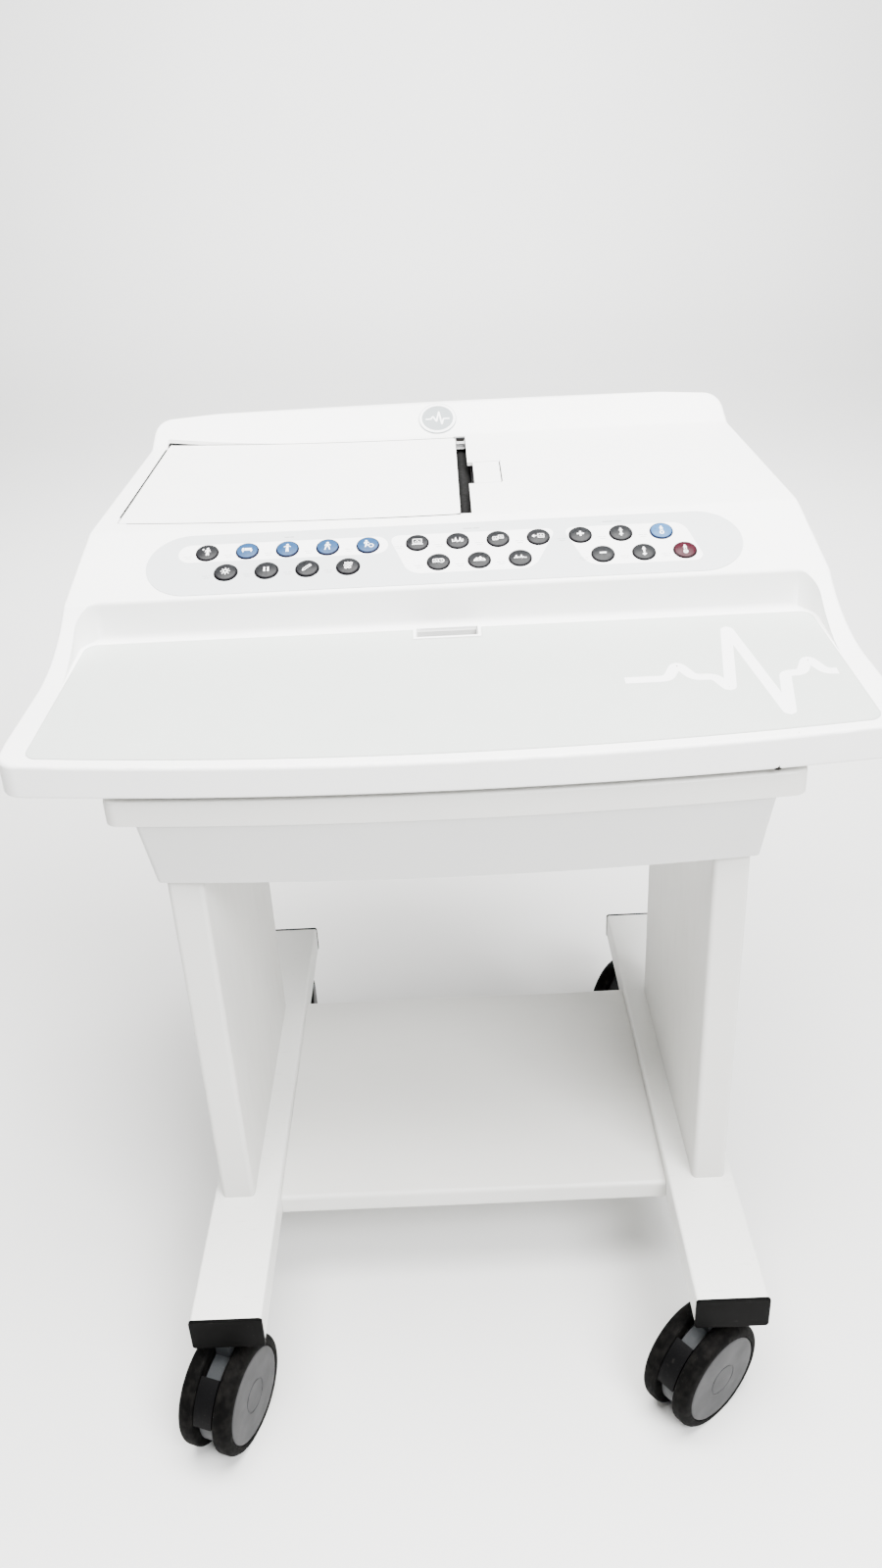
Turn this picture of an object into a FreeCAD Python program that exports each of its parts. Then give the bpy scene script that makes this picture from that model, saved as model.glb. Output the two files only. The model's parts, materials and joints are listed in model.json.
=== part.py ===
"""Exercise-test console on a four-caster trolley, one STEP file per physical piece.

Millimetres. While it is built, x = 0 is the plane of symmetry, y = 0 is the front of the foot
rails with +Y towards the back, and z = 0 is the floor. save_all() then moves everything along Y,
so that the origin is on the floor below the middle of the bounding box.
"""
import FreeCAD, Part
import math
import os

V = FreeCAD.Vector
X_AXIS = V(1, 0, 0)
Z_AXIS = V(0, 0, 1)

# ---- trolley -------------------------------------------------------------------------------
RAIL_X = (210.0, 280.0)
RAIL_Z = (129.4, 165.0)
RAIL_LENGTH = 657.0
RAIL_WALL = 2.5
RAIL_EDGE_R = 3.0
CAP_PLATE = 3.0
CAP_RIM = 0.8
SHELF_Y = (163.5, 505.0)
SHELF_Z = (127.4, 151.4)
PANEL_X = (235.7, 270.0)
PANEL_Y = (154.4, 486.0)
PLATE_Z = (635.0, 659.0)
PLATE_HALF = 313.0
PLATE_Y = (143.0, 622.0)
APRON_DEPTH = 65.0
APRON_WALL = 5.0
FRONT_BOW = 26.0            # how far the console's front edge bulges at its middle
BOLT_Y = (205.0, 435.0)
BOLT_X = (PANEL_X[0] + PANEL_X[1]) / 2
FOOT_AT = ((-205.0, 210.0), (205.0, 210.0), (-205.0, 560.0), (205.0, 560.0))
FOOT_R = 15.0
BOLT_R = 3.0
BOLT_HOLE_R = 3.1
BOLT_HEAD_R = 5.0
SOCKET_R = 10.0

# ---- casters: twin wheels of 115 mm ---------------------------------------------------------
WHEEL_R = 57.3
TYRE_WIDTH = 18.6
TYRE_CROWN = (3.0, 7.8)     # how far the tread stops short of the inner and outer faces
WHEEL_GAP = 10.4            # from the caster's middle plane to each wheel
HUB_R = 46.6
TRAIL = 30.5
SWIVEL_R = 24.0
SWIVEL_TOP = 127.3
SWIVEL_THICK = 4.8
PIVOT_R = 5.0
AXLE_R = 6.0
RUNNING = 0.06
HOUSING_R = 48.5
HOUSING_HALF = 7.6
PEDAL_RING = (49.1, 55.5)
PEDAL_SPAN = (12.0, 62.0)  # degrees above the horizontal, on the wheel's leading side
PEDAL_TRAVEL = 12.0
CASTERS = {
    "front_left": {"at": (-245.0, 34.0), "heading": 19.4, "braked": True},
    "front_right": {"at": (245.0, 34.0), "heading": 50.7, "braked": True},
    "rear_left": {"at": (-245.0, 623.0), "heading": -5.0, "braked": False},
    "rear_right": {"at": (245.0, 623.0), "heading": 35.0, "braked": False},
}

# ---- console casing -------------------------------------------------------------------------
CASE_BOTTOM = 665.0
CASE_WALL = 4.0
CASE_CORNER_R = 22.0
CASE_RIM_R = 4.0
CASE_HALF_FRONT = 402.0
CASE_HALF_SHOULDER = 376.0
CASE_HALF_REAR = 345.0
CASE_FRONT_Y = 149.0
CASE_REAR_Y = 738.0
REAR_BOW = 14.0
TRAY_FRONT = (158.0, 699.0)           # y, z on the tray's surface
TRAY_SLOPE = 7.16
TRAY_BACK_Y = 372.5
TRAY_BACK_EDGE_R = 5.0
POCKET_CORNER_R = 24.0
TRAY_HALF = 372.0
TRAY_FLARE = (285.0, 18.0)            # in front of this y, the tray widens by so much at y = 30
ARM_CREASE = (326.7, 720.2)
ARM_CREASE_R = 175.0
FACET_START = (370.5, 764.4)          # lower edge of the keypad facet
DECK_START = (470.0, 810.7)
RISE_START = (697.0, 846.0)
CASE_TOP = 877.3
FACET_SLOPE = math.degrees(math.atan2(DECK_START[1] - FACET_START[1], DECK_START[0] - FACET_START[0]))
DECK_SLOPE = math.degrees(math.atan2(RISE_START[1] - DECK_START[1], RISE_START[0] - DECK_START[0]))
RISE_SLOPE = math.degrees(math.atan2(CASE_TOP - RISE_START[1], CASE_REAR_Y - RISE_START[0]))

MAT_HALF = (377.0, 366.0)             # at its front and its rear
MAT_Y = (157.0, 361.0)
MAT_BOW = 22.0
MAT_THICK = 0.8
CABLE_SLOT = (31.0, 21.0)             # half width, depth front to back
CABLE_SLOT_RIM = 3.0

# ---- keypad: along the facet, measured up the slope from FACET_START -------------------------
PILL_HALF = 307.0
PILL_V = (6.6, 96.6)
PILL_THICK = 0.6
KEY_R = 12.15
KEY_PITCH = 41.8
KEY_ROWS = {"top": 67.8, "bottom": 37.4}
KEY_PROUD = 3.2
KEY_TRAVEL = 1.5
KEY_GAP = 0.5
KEY_GROUPS = {
    "test": {"top": (-245.0, 5), "bottom": (-223.5, 4)},
    "report": {"top": (-26.5, 4), "bottom": (-5.5, 3)},
    "control": {"top": (142.3, 3), "bottom": (162.4, 3)},
}

# ---- writer: in the deck's own plane, x across and v up the slope from DECK_START -------------
DOOR_FRONT = ((-349.0, 21.0), (20.0, 3.0))
DOOR_REAR = ((-328.0, 243.0), (20.0, 221.0))
DOOR_BOW = 5.7
DOOR_THICK = 3.2
DOOR_GAP = 0.8
DOOR_CORNER_R = 6.0
HINGE_CORNER_R = 1.5          # kept small, so that the raised lid clears the opening
DOOR_OPEN = 90.0
HINGE_R = 1.6
HINGE_PIN_R = 1.2
SLOT_X = (20.0, 32.0)
SLOT_V = (3.0, 226.0)
BUTTON_X = (38.0, 68.0)
BUTTON_V = (82.0, 142.0)
BUTTON_GAP = 0.6
BUTTON_TRAVEL = 2.5
ROLLER_AT = (26.0, -22.0)             # x, depth below the deck
ROLLER_R = 9.5
ROLLER_V = (11.0, 219.0)
SHAFT_R = 3.0
BED_X = (-318.0, 12.0)
BED_V = (10.0, 220.0)
BED_DEPTH = 56.0
BED_WALL = 2.5
BADGE_R = 22.8

REAR_PANEL_X = (110.0, 290.0)
REAR_PANEL_Z = (690.0, 745.0)
REAR_PANEL_Y = 734.0


# ---- small helpers ---------------------------------------------------------------------------
def box(x_span, y_span, z_span):
    size = [span[1] - span[0] for span in (x_span, y_span, z_span)]
    return Part.makeBox(size[0], size[1], size[2], V(x_span[0], y_span[0], z_span[0]))


def mirrored(shape):
    return shape.mirror(V(0, 0, 0), X_AXIS)


def placed(shape, place):
    """The shape moved by a rigid placement, with its curves and surfaces kept as they are."""
    moved = shape.copy()
    moved.Placement = place.multiply(moved.Placement)
    return moved


def cylinder(radius, height, base, axis=Z_AXIS):
    return Part.makeCylinder(radius, height, base, axis)


def fuse(shapes):
    return shapes[0].multiFuse(shapes[1:]).removeSplitter()


def rounded_wire(points):
    """A closed wire through (a, b, radius) corners of a plane, as X and Y."""
    edges = []
    ends = []
    count = len(points)
    for index, (a, b, radius) in enumerate(points):
        corner = V(a, b, 0)
        before = V(points[index - 1][0], points[index - 1][1], 0)
        after = V(points[(index + 1) % count][0], points[(index + 1) % count][1], 0)
        to_before = (before - corner).normalize()
        to_after = (after - corner).normalize()
        if not radius:
            ends.append((corner, corner))
            continue
        half = to_before.getAngle(to_after) / 2
        reach = radius / math.tan(half)
        first = corner + to_before * reach
        last = corner + to_after * reach
        bisector = (to_before + to_after).normalize()
        middle = corner + bisector * (radius / math.sin(half) - radius)
        edges.append(Part.Arc(first, middle, last).toShape())
        ends.append((first, last))
    for index in range(count):
        start = ends[index][1]
        end = ends[(index + 1) % count][0]
        if start.distanceToPoint(end) > 1e-4:
            edges.append(Part.LineSegment(start, end).toShape())
    return Part.Wire(Part.__sortEdges__(edges))


def along_x(wire, x_span):
    """Extrude a wire drawn as (y, z) along X."""
    solid = Part.Face(wire).extrude(V(0, 0, x_span[1] - x_span[0]))
    turn = FreeCAD.Placement(V(x_span[0], 0, 0), FreeCAD.Rotation(V(1, 1, 1), 120))
    return placed(solid, turn)


def along_z(wire, z_span):
    """Extrude a wire drawn as (x, y) along Z."""
    solid = Part.Face(wire).extrude(V(0, 0, z_span[1] - z_span[0]))
    solid.translate(V(0, 0, z_span[0]))
    return solid


def bowed_outline(half_front, half_rear, front_y, rear_y, front_bow, rear_bow=0.0):
    """Four-sided plan outline with its front edge, and perhaps its rear, curved outwards."""
    left = V(-half_front, front_y, 0)
    right = V(half_front, front_y, 0)
    rear_right = V(half_rear, rear_y, 0)
    rear_left = V(-half_rear, rear_y, 0)
    edges = [Part.Arc(left, V(0, front_y - front_bow, 0), right).toShape()]
    edges.append(Part.LineSegment(right, rear_right).toShape())
    if rear_bow:
        edges.append(Part.Arc(rear_right, V(0, rear_y + rear_bow, 0), rear_left).toShape())
    else:
        edges.append(Part.LineSegment(rear_right, rear_left).toShape())
    edges.append(Part.LineSegment(rear_left, left).toShape())
    return Part.Wire(edges)


def upright_edges(shape, y_test=None):
    """The straight edges along Z, perhaps only those whose y passes a test."""
    found = []
    for edge in shape.Edges:
        start, end = edge.Vertexes[0].Point, edge.Vertexes[-1].Point
        flat = math.hypot(start.x - end.x, start.y - end.y)
        if flat < 1e-4 and abs(start.z - end.z) > 0.1 and (y_test is None or y_test(start.y)):
            found.append(edge)
    return found


def edges_at(shape, test):
    """The edges whose both ends and middle pass a test."""
    found = []
    for edge in shape.Edges:
        middle = edge.valueAt((edge.FirstParameter + edge.LastParameter) / 2)
        ends = [vertex.Point for vertex in edge.Vertexes]
        if all(test(point) for point in ends + [middle]):
            found.append(edge)
    return found


def on_slope(shape, slope, start):
    """Put a shape drawn flat, as (x, up the slope, out of it), on a slope that starts at (y, z)."""
    place = FreeCAD.Placement(V(0, start[0], start[1]), FreeCAD.Rotation(X_AXIS, slope))
    return placed(shape, place)


def on_deck(shape):
    return on_slope(shape, DECK_SLOPE, DECK_START)


def on_facet(shape):
    return on_slope(shape, FACET_SLOPE, FACET_START)


def tray_z(y):
    return TRAY_FRONT[1] + (y - TRAY_FRONT[0]) * math.tan(math.radians(TRAY_SLOPE))


# ---- trolley ---------------------------------------------------------------------------------
def rail():
    width, height = RAIL_X[1] - RAIL_X[0], RAIL_Z[1] - RAIL_Z[0]
    corners = [(0, 0), (width, 0), (width, height), (0, height)]
    outline = rounded_wire([(a, b, RAIL_EDGE_R) for a, b in corners])
    tube = Part.Face(outline).cut(Part.Face(outline.makeOffset2D(-RAIL_WALL)))
    tube = tube.extrude(V(0, 0, RAIL_LENGTH))
    turn = FreeCAD.Placement(V(RAIL_X[0], RAIL_LENGTH, RAIL_Z[0]), FreeCAD.Rotation(X_AXIS, 90))
    tube = placed(tube, turn)
    for y in (CASTERS["front_right"]["at"][1], CASTERS["rear_right"]["at"][1]):
        tube = tube.cut(cylinder(SOCKET_R, 8, V(245, y, RAIL_Z[0] - 1)))
    for y in BOLT_Y:
        tube = tube.cut(cylinder(BOLT_HOLE_R, 60, V(BOLT_X, y, RAIL_Z[0] - 5)))
    return tube


def rail_end_cap(y, outward):
    """A moulded plug with a plate that stands a little proud of the tube all round."""
    inset = RAIL_WALL + 0.2
    plug_y = (y, y + 14.0) if outward < 0 else (y - 14.0, y)
    plate_y = (y - CAP_PLATE, y) if outward < 0 else (y, y + CAP_PLATE)
    plug = box((RAIL_X[0] + inset, RAIL_X[1] - inset), plug_y, (RAIL_Z[0] + inset, RAIL_Z[1] - inset))
    plate = box((RAIL_X[0] - CAP_RIM, RAIL_X[1] + CAP_RIM), plate_y, (RAIL_Z[0] - CAP_RIM, RAIL_Z[1] + CAP_RIM))
    plate = plate.makeFillet(3.5, edges_along_y(plate))
    outer_y = plate_y[0] if outward < 0 else plate_y[1]
    plate = plate.makeFillet(0.8, edges_at(plate, lambda p: abs(p.y - outer_y) < 1e-3))
    return fuse([plug, plate])


def edges_along_y(shape):
    return [e for e in shape.Edges if abs(abs(e.tangentAt(e.FirstParameter).y) - 1) < 1e-6]


def side_panel():
    panel = box(PANEL_X, PANEL_Y, (RAIL_Z[1], PLATE_Z[0]))
    panel = panel.makeFillet(5.0, upright_edges(panel))
    for y in BOLT_Y:
        panel = panel.cut(cylinder(BOLT_HOLE_R, 32, V(BOLT_X, y, RAIL_Z[1] - 1)))
    return panel


def lower_shelf():
    shelf = box((-RAIL_X[0], RAIL_X[0]), SHELF_Y, SHELF_Z)
    long_edges = [e for e in shelf.Edges if abs(abs(e.tangentAt(e.FirstParameter).x) - 1) < 1e-6]
    return shelf.makeFillet(5.0, long_edges)


def apron():
    """A skirt that flares outwards from its foot to the plate above."""
    foot_z = PLATE_Z[0] - APRON_DEPTH
    foot = bowed_outline(277, 277, 150, 606, 13)
    head = bowed_outline(286, 286, 142, 614, 13)
    inner_foot = foot.makeOffset2D(-APRON_WALL)
    inner_head = head.makeOffset2D(-APRON_WALL)
    for wire, z in ((foot, foot_z), (inner_foot, foot_z), (head, PLATE_Z[0]), (inner_head, PLATE_Z[0])):
        wire.translate(V(0, 0, z))
    outer = Part.makeLoft([foot, head], True, True)
    inner = Part.makeLoft([inner_foot, inner_head], True, True)
    corner = [e for e in outer.Edges if abs(e.Vertexes[0].Z - e.Vertexes[-1].Z) > 1]
    outer = outer.makeFillet(6.0, corner)
    return outer.cut(inner)


def cart_top_plate():
    plate = along_z(bowed_outline(PLATE_HALF, PLATE_HALF, PLATE_Y[0], PLATE_Y[1], 15.0), PLATE_Z)
    plate = plate.makeFillet(14.0, upright_edges(plate))
    plate = plate.makeFillet(3.0, edges_at(plate, lambda p: abs(p.z - PLATE_Z[1]) < 1e-3))
    for x, y in FOOT_AT:
        plate = plate.cut(cylinder(BOLT_HOLE_R, 40, V(x, y, PLATE_Z[0] - 5)))
    return plate


def bolt(x, y, under, length):
    """A pan-head bolt whose head is below the level `under`, and its shank above it."""
    head = cylinder(BOLT_HEAD_R, 3.4, V(x, y, under - 3.4))
    head = head.makeFillet(1.2, edges_at(head, lambda p: p.z < under - 3.3))
    turns = [math.radians(60 * index) for index in range(7)]
    socket = Part.makePolygon([V(x + 2.6 * math.cos(a), y + 2.6 * math.sin(a), under - 3.5) for a in turns])
    socket = Part.Face(socket).extrude(V(0, 0, 2.0))
    return fuse([head, cylinder(BOLT_R, length, V(x, y, under))]).cut(socket)


def fasteners():
    bolts = []
    for side in (-1, 1):
        for y in BOLT_Y:
            bolts.append(bolt(side * BOLT_X, y, RAIL_Z[0], 62))
    for x, y in FOOT_AT:
        bolts.append(bolt(x, y, PLATE_Z[0], 31))
    return Part.makeCompound(bolts)


# ---- casters ---------------------------------------------------------------------------------
# Drawn with the swivel axis at the origin, the axle along X and the wheels on the -Y side.
def to_caster(shape, name):
    x, y = CASTERS[name]["at"]
    place = FreeCAD.Placement(V(x, y, 0), FreeCAD.Rotation(Z_AXIS, -CASTERS[name]["heading"]))
    return placed(shape, place)


def turned(profile):
    """Revolve (distance from the middle plane, radius) points about the axle."""
    points = [V(a, -TRAIL, WHEEL_R + r) for a, r in profile]
    face = Part.Face(Part.makePolygon(points + points[:1]))
    return face.revolve(V(0, -TRAIL, WHEEL_R), X_AXIS, 360)


def tyre():
    """A tread with a narrow crown, rounded off well into the outer side wall."""
    inner, outer = WHEEL_GAP, WHEEL_GAP + TYRE_WIDTH
    seat = HUB_R - 2.0
    tread = (inner + TYRE_CROWN[0], outer - TYRE_CROWN[1])
    shoulder = (outer - 2.4, WHEEL_R - 3.4)
    wall = (outer - 0.3, HUB_R + 1.2)
    inner_wall = (inner, WHEEL_R - 3.0)
    edges = [
        Part.Arc(V(*inner_wall, 0), V(inner + 0.9, WHEEL_R - 0.9, 0), V(tread[0], WHEEL_R, 0)).toShape(),
        Part.LineSegment(V(tread[0], WHEEL_R, 0), V(tread[1], WHEEL_R, 0)).toShape(),
        Part.Arc(V(tread[1], WHEEL_R, 0), V(*shoulder, 0), V(*wall, 0)).toShape(),
    ]
    outline = [wall, (outer - 1.0, HUB_R), (outer - 2.6, HUB_R), (outer - 2.6, seat), (inner, seat), inner_wall]
    for start, end in zip(outline, outline[1:]):
        edges.append(Part.LineSegment(V(*start, 0), V(*end, 0)).toShape())
    face = Part.Face(Part.Wire(edges))
    turn = FreeCAD.Placement(V(0, -TRAIL, WHEEL_R), FreeCAD.Rotation(X_AXIS, 90))
    return placed(face, turn).revolve(V(0, -TRAIL, WHEEL_R), X_AXIS, 360)


def hub():
    """Dished wheel centre: an outer disc with a raised middle cap, a rim and a boss on the axle."""
    inner, outer = WHEEL_GAP, WHEEL_GAP + TYRE_WIDTH
    rim = HUB_R - 2.0
    profile = [(inner + 1, AXLE_R), (outer - 3, AXLE_R), (outer - 3, 0.0), (outer + 0.2, 0.0),
               (outer + 0.2, 15.4), (outer - 0.5, 16.0), (outer - 0.5, 16.8), (outer, 17.4),
               (outer - 0.6, 40.0), (outer - 1.6, HUB_R - 0.4), (outer - 2.4, HUB_R - 0.4),
               (outer - 2.6, rim), (inner + 1, rim), (inner + 1, rim - 3), (outer - 5.5, rim - 3),
               (outer - 5.5, 13), (inner + 1, 13)]
    return turned(profile)


def axle():
    reach = WHEEL_GAP + TYRE_WIDTH - 3.0
    return cylinder(AXLE_R, 2 * reach, V(-reach, -TRAIL, WHEEL_R), X_AXIS)


def caster_housing():
    """The swivelling body between the wheels, with a round head under the rail."""
    drum = cylinder(HOUSING_R, 2 * HOUSING_HALF, V(-HOUSING_HALF, -TRAIL, WHEEL_R), X_AXIS)
    neck = box((-HOUSING_HALF, HOUSING_HALF), (-TRAIL, 14), (66, SWIVEL_TOP - SWIVEL_THICK))
    neck = neck.makeFillet(12.0, edges_at(neck, lambda p: p.y > 13.9 and p.z < 67))
    head = cylinder(SWIVEL_R, SWIVEL_THICK, V(0, 0, SWIVEL_TOP - SWIVEL_THICK))
    head = head.makeFillet(1.5, edges_at(head, lambda p: abs(p.z - SWIVEL_TOP) < 1e-3))
    body = fuse([drum, neck, head])
    body = body.cut(cylinder(PIVOT_R + RUNNING, 50, V(0, 0, 84)))
    return body.cut(cylinder(AXLE_R + RUNNING, 60, V(-30, -TRAIL, WHEEL_R), X_AXIS))


def sector(radius_span, angle_span, x_span):
    """A piece of a ring about the axle, on its leading side."""
    ring = cylinder(radius_span[1], x_span[1] - x_span[0], V(x_span[0], 0, 0), X_AXIS)
    ring = ring.cut(cylinder(radius_span[0], x_span[1] - x_span[0], V(x_span[0], 0, 0), X_AXIS))
    far = 200.0
    low, high = (math.radians(angle) for angle in angle_span)
    corners = [V(x_span[0], 0, 0), V(x_span[0], -far * math.cos(low), far * math.sin(low)),
               V(x_span[0], -far * math.cos(high), far * math.sin(high))]
    wedge = Part.Face(Part.makePolygon(corners + corners[:1])).extrude(V(x_span[1] - x_span[0], 0, 0))
    piece = ring.common(wedge)
    piece.translate(V(0, -TRAIL, WHEEL_R))
    return piece


def brake_pedal():
    """A tongue that slides round the housing, on two cheeks that turn on the axle."""
    half = WHEEL_GAP - 0.7
    cheek = half - HOUSING_HALF - 0.4
    tongue = sector(PEDAL_RING, PEDAL_SPAN, (-half, half))
    sides = ((-half, -half + cheek), (half - cheek, half))
    cheeks = [sector((12.0, PEDAL_RING[1]), (20, 50), side) for side in sides]
    eyes = []
    for x, end in sides:
        eye = cylinder(14.0, cheek, V(x, -TRAIL, WHEEL_R), X_AXIS)
        eyes.append(eye.cut(cylinder(AXLE_R + RUNNING, cheek, V(x, -TRAIL, WHEEL_R), X_AXIS)))
    return fuse([tongue] + cheeks + eyes)


def caster_stem():
    """Threaded stem, washer flange under the rail and the pivot pin below it."""
    flange = cylinder(20, RAIL_Z[0] - SWIVEL_TOP - 0.5, V(0, 0, SWIVEL_TOP + 0.5))
    pin = cylinder(PIVOT_R, 42, V(0, 0, SWIVEL_TOP + 0.5 - 41))
    sleeve = cylinder(SOCKET_R, 22, V(0, 0, RAIL_Z[0]))
    nut = cylinder(13, 6, V(0, 0, RAIL_Z[0] + 12))
    return fuse([flange, pin, sleeve, nut])


# ---- console casing --------------------------------------------------------------------------
def case_plan():
    """Plan outline of the casing: bowed front, sides that curve in to the shoulders, bowed rear."""
    front_right = V(CASE_HALF_FRONT, CASE_FRONT_Y, 0)
    side = V(CASE_HALF_FRONT, 185, 0)
    shoulder = V(CASE_HALF_SHOULDER, DECK_START[0], 0)
    rear_right = V(CASE_HALF_REAR, CASE_REAR_Y, 0)
    bulge = V(389.5, 340, 0)
    right = [Part.LineSegment(front_right, side).toShape(), Part.Arc(side, bulge, shoulder).toShape(),
             Part.LineSegment(shoulder, rear_right).toShape()]
    left = [mirrored(edge) for edge in right]
    front = Part.Arc(V(-CASE_HALF_FRONT, CASE_FRONT_Y, 0), V(0, CASE_FRONT_Y - FRONT_BOW, 0), front_right)
    rear = Part.Arc(rear_right, V(0, CASE_REAR_Y + REAR_BOW, 0), V(-CASE_HALF_REAR, CASE_REAR_Y, 0))
    return Part.Wire(Part.__sortEdges__(right + left + [front.toShape(), rear.toShape()]))


def case_profile(inset=0.0):
    """Side outline of the casing above its open bottom, as (y, z)."""
    back = 790.0
    outline = rounded_wire([(60, tray_z(60), 0), (ARM_CREASE[0], ARM_CREASE[1], ARM_CREASE_R),
                            (FACET_START[0], FACET_START[1], 6), (DECK_START[0], DECK_START[1], 25),
                            (RISE_START[0], RISE_START[1], 14), (CASE_REAR_Y, CASE_TOP, 5), (back, CASE_TOP, 0),
                            (back, CASE_BOTTOM, 0), (60, CASE_BOTTOM, 0)])
    if not inset:
        return outline
    return outline.makeOffset2D(-inset)


def tray_pocket(drop=0.0, widen=0.0):
    """The space over the tray, between the arms and in front of the keypad."""
    back = TRAY_BACK_Y + widen
    floor = [(40, tray_z(40) - drop, 0), (back, tray_z(back) - drop, 7.0 - widen), (back, 900, 0), (40, 900, 0)]
    half = TRAY_HALF + widen
    corner_r = POCKET_CORNER_R + widen
    flare_y, flare = TRAY_FLARE
    plan = rounded_wire([(-half - flare, 30, 0), (half + flare, 30, 0), (half, flare_y, 0), (half, back, corner_r),
                         (-half, back, corner_r), (-half, flare_y, 0)])
    return along_x(rounded_wire(floor), (-half - flare, half + flare)).common(along_z(plan, (500, 950)))


def back_edge_cutters():
    """What rounds the top of the tray's back wall, and fades out round its two corners."""
    slope = math.radians(FACET_SLOPE)
    radius = TRAY_BACK_EDGE_R
    top = FACET_START[1] + (TRAY_BACK_Y - FACET_START[0]) * math.tan(slope)
    reach = radius / math.tan((math.pi / 2 + slope) / 2)
    end_y = TRAY_BACK_Y + (reach + 0.001) * math.cos(slope)
    end_z = top + (reach + 0.001) * math.sin(slope)
    low = top - reach - 2
    outline = rounded_wire([(TRAY_BACK_Y - 2, low, 0), (TRAY_BACK_Y, low, 0), (TRAY_BACK_Y, top, radius),
                            (end_y, end_z, 0), (end_y, top + 20, 0), (TRAY_BACK_Y - 2, top + 20, 0)])
    corner_x = TRAY_HALF - POCKET_CORNER_R
    straight = along_x(outline, (-corner_x, corner_x))
    turn = FreeCAD.Placement(V(corner_x, 0, 0), FreeCAD.Rotation(V(1, 1, 1), 120))
    section = placed(Part.Face(outline), turn)
    corner = section.revolve(V(corner_x, TRAY_BACK_Y - POCKET_CORNER_R, 0), Z_AXIS, -90)
    return [straight, corner, mirrored(corner)]


def case_block():
    """The casing's outer form as one solid."""
    block = along_x(case_profile(), (-450, 450)).common(along_z(case_plan(), (CASE_BOTTOM, 900)))
    block = block.makeFillet(CASE_CORNER_R, upright_edges(block, lambda y: y < 160 or y > 600))
    block = block.makeFillet(CASE_RIM_R, side_rim(block, lambda z: z > CASE_BOTTOM + 1))
    return block.makeFillet(3.0, edges_at(block, lambda p: abs(p.z - CASE_BOTTOM) < 1e-3))


def side_rim(block, level):
    """The edges where upright side faces meet anything else, at levels that pass a test."""
    sides = []
    for face in block.Faces:
        u_low, u_high, v_low, v_high = face.ParameterRange
        if abs(face.normalAt((u_low + u_high) / 2, (v_low + v_high) / 2).z) < 1e-6:
            sides.append(face)
    side_edges = [edge for face in sides for edge in face.Edges]
    rim = []
    for edge in block.Edges:
        uses = sum(1 for other in side_edges if edge.isSame(other))
        if uses == 1 and all(level(vertex.Z) for vertex in edge.Vertexes):
            rim.append(edge)
    return rim


def door_outline(grow=0.0):
    """Outline of the writer's door in the deck's plane, with its front and rear edges bowed alike."""
    front_left, front_right = (V(x, v, 0) for x, v in DOOR_FRONT)
    rear_left, rear_right = (V(x, v, 0) for x, v in DOOR_REAR)
    bow = V(0, -DOOR_BOW, 0)
    wire = Part.Wire([
        Part.Arc(front_left, (front_left + front_right) * 0.5 + bow, front_right).toShape(),
        Part.LineSegment(front_right, rear_right).toShape(),
        Part.Arc(rear_right, (rear_left + rear_right) * 0.5 + bow, rear_left).toShape(),
        Part.LineSegment(rear_left, front_left).toShape(),
    ])
    return wire.makeOffset2D(grow, 2) if grow else wire


def round_door(slab, grow=0.0):
    """Round a slab's upright corners: hardly at the hinge, more at the free side."""
    for hinge_side, radius in ((True, HINGE_CORNER_R), (False, DOOR_CORNER_R)):
        corners = [e for e in upright_edges(slab) if (e.Vertexes[0].X < DOOR_REAR[0][0] + 20) == hinge_side]
        corners = [e for e in corners if hinge_side or e.Vertexes[0].X > DOOR_REAR[1][0] - 20]
        slab = slab.makeFillet(radius + grow, corners)
    return slab


def deck_opening():
    """The hole through the deck for the door, the paper slot, the finger notch and the latch button."""
    deep = (-12.0, 12.0)
    door = along_z(door_outline(DOOR_GAP), deep)
    door = round_door(door, DOOR_GAP)
    slot = box((SLOT_X[0] - 2, SLOT_X[1]), SLOT_V, deep)
    button_v = (BUTTON_V[0] - BUTTON_GAP, BUTTON_V[1] + BUTTON_GAP)
    button = box((SLOT_X[1] - 1, BUTTON_X[1] + BUTTON_GAP), button_v, deep)
    return on_deck(fuse([door, slot, button]))


def hinge_line():
    """A point on the door's hinge axis and the axis' direction, in the deck's plane."""
    front, rear = V(*DOOR_FRONT[0], 0), V(*DOOR_REAR[0], 0)
    direction = (rear - front).normalize()
    inward = V(direction.y, -direction.x, 0)
    return front + inward * HINGE_R + V(0, 0, -HINGE_R), direction, (rear - front).Length


def printer_door():
    """A flush lid whose left edge is a full round about the hinge axis, with a pin at each end."""
    lid = along_z(door_outline(), (-DOOR_THICK, 0.0))
    lid = round_door(lid)
    start, direction, length = hinge_line()
    side = V(direction.y, -direction.x, 0)
    corners = [start - direction * 20, start + direction * (length + 20)]
    corners += [corners[1] - side * 20, corners[0] - side * 20]
    strip = Part.Face(Part.makePolygon(corners + corners[:1])).extrude(V(0, 0, 20))
    strip.translate(V(0, 0, -10))
    edge_round = cylinder(HINGE_R, length - 2 * HINGE_CORNER_R, start + direction * HINGE_CORNER_R, direction)
    pin = cylinder(HINGE_PIN_R, length + 8.0, start - direction * 4.0, direction)
    rib_shape = box((-300, -20), (20, 22), (-DOOR_THICK - 1.2, -DOOR_THICK))
    ribs = []
    for v in (30.0, 95.0, 160.0, 205.0):
        rib = rib_shape.copy()
        rib.translate(V(0, v - 20, 0))
        ribs.append(rib)
    return on_deck(fuse([lid.cut(strip), edge_round, pin] + ribs))


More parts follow.
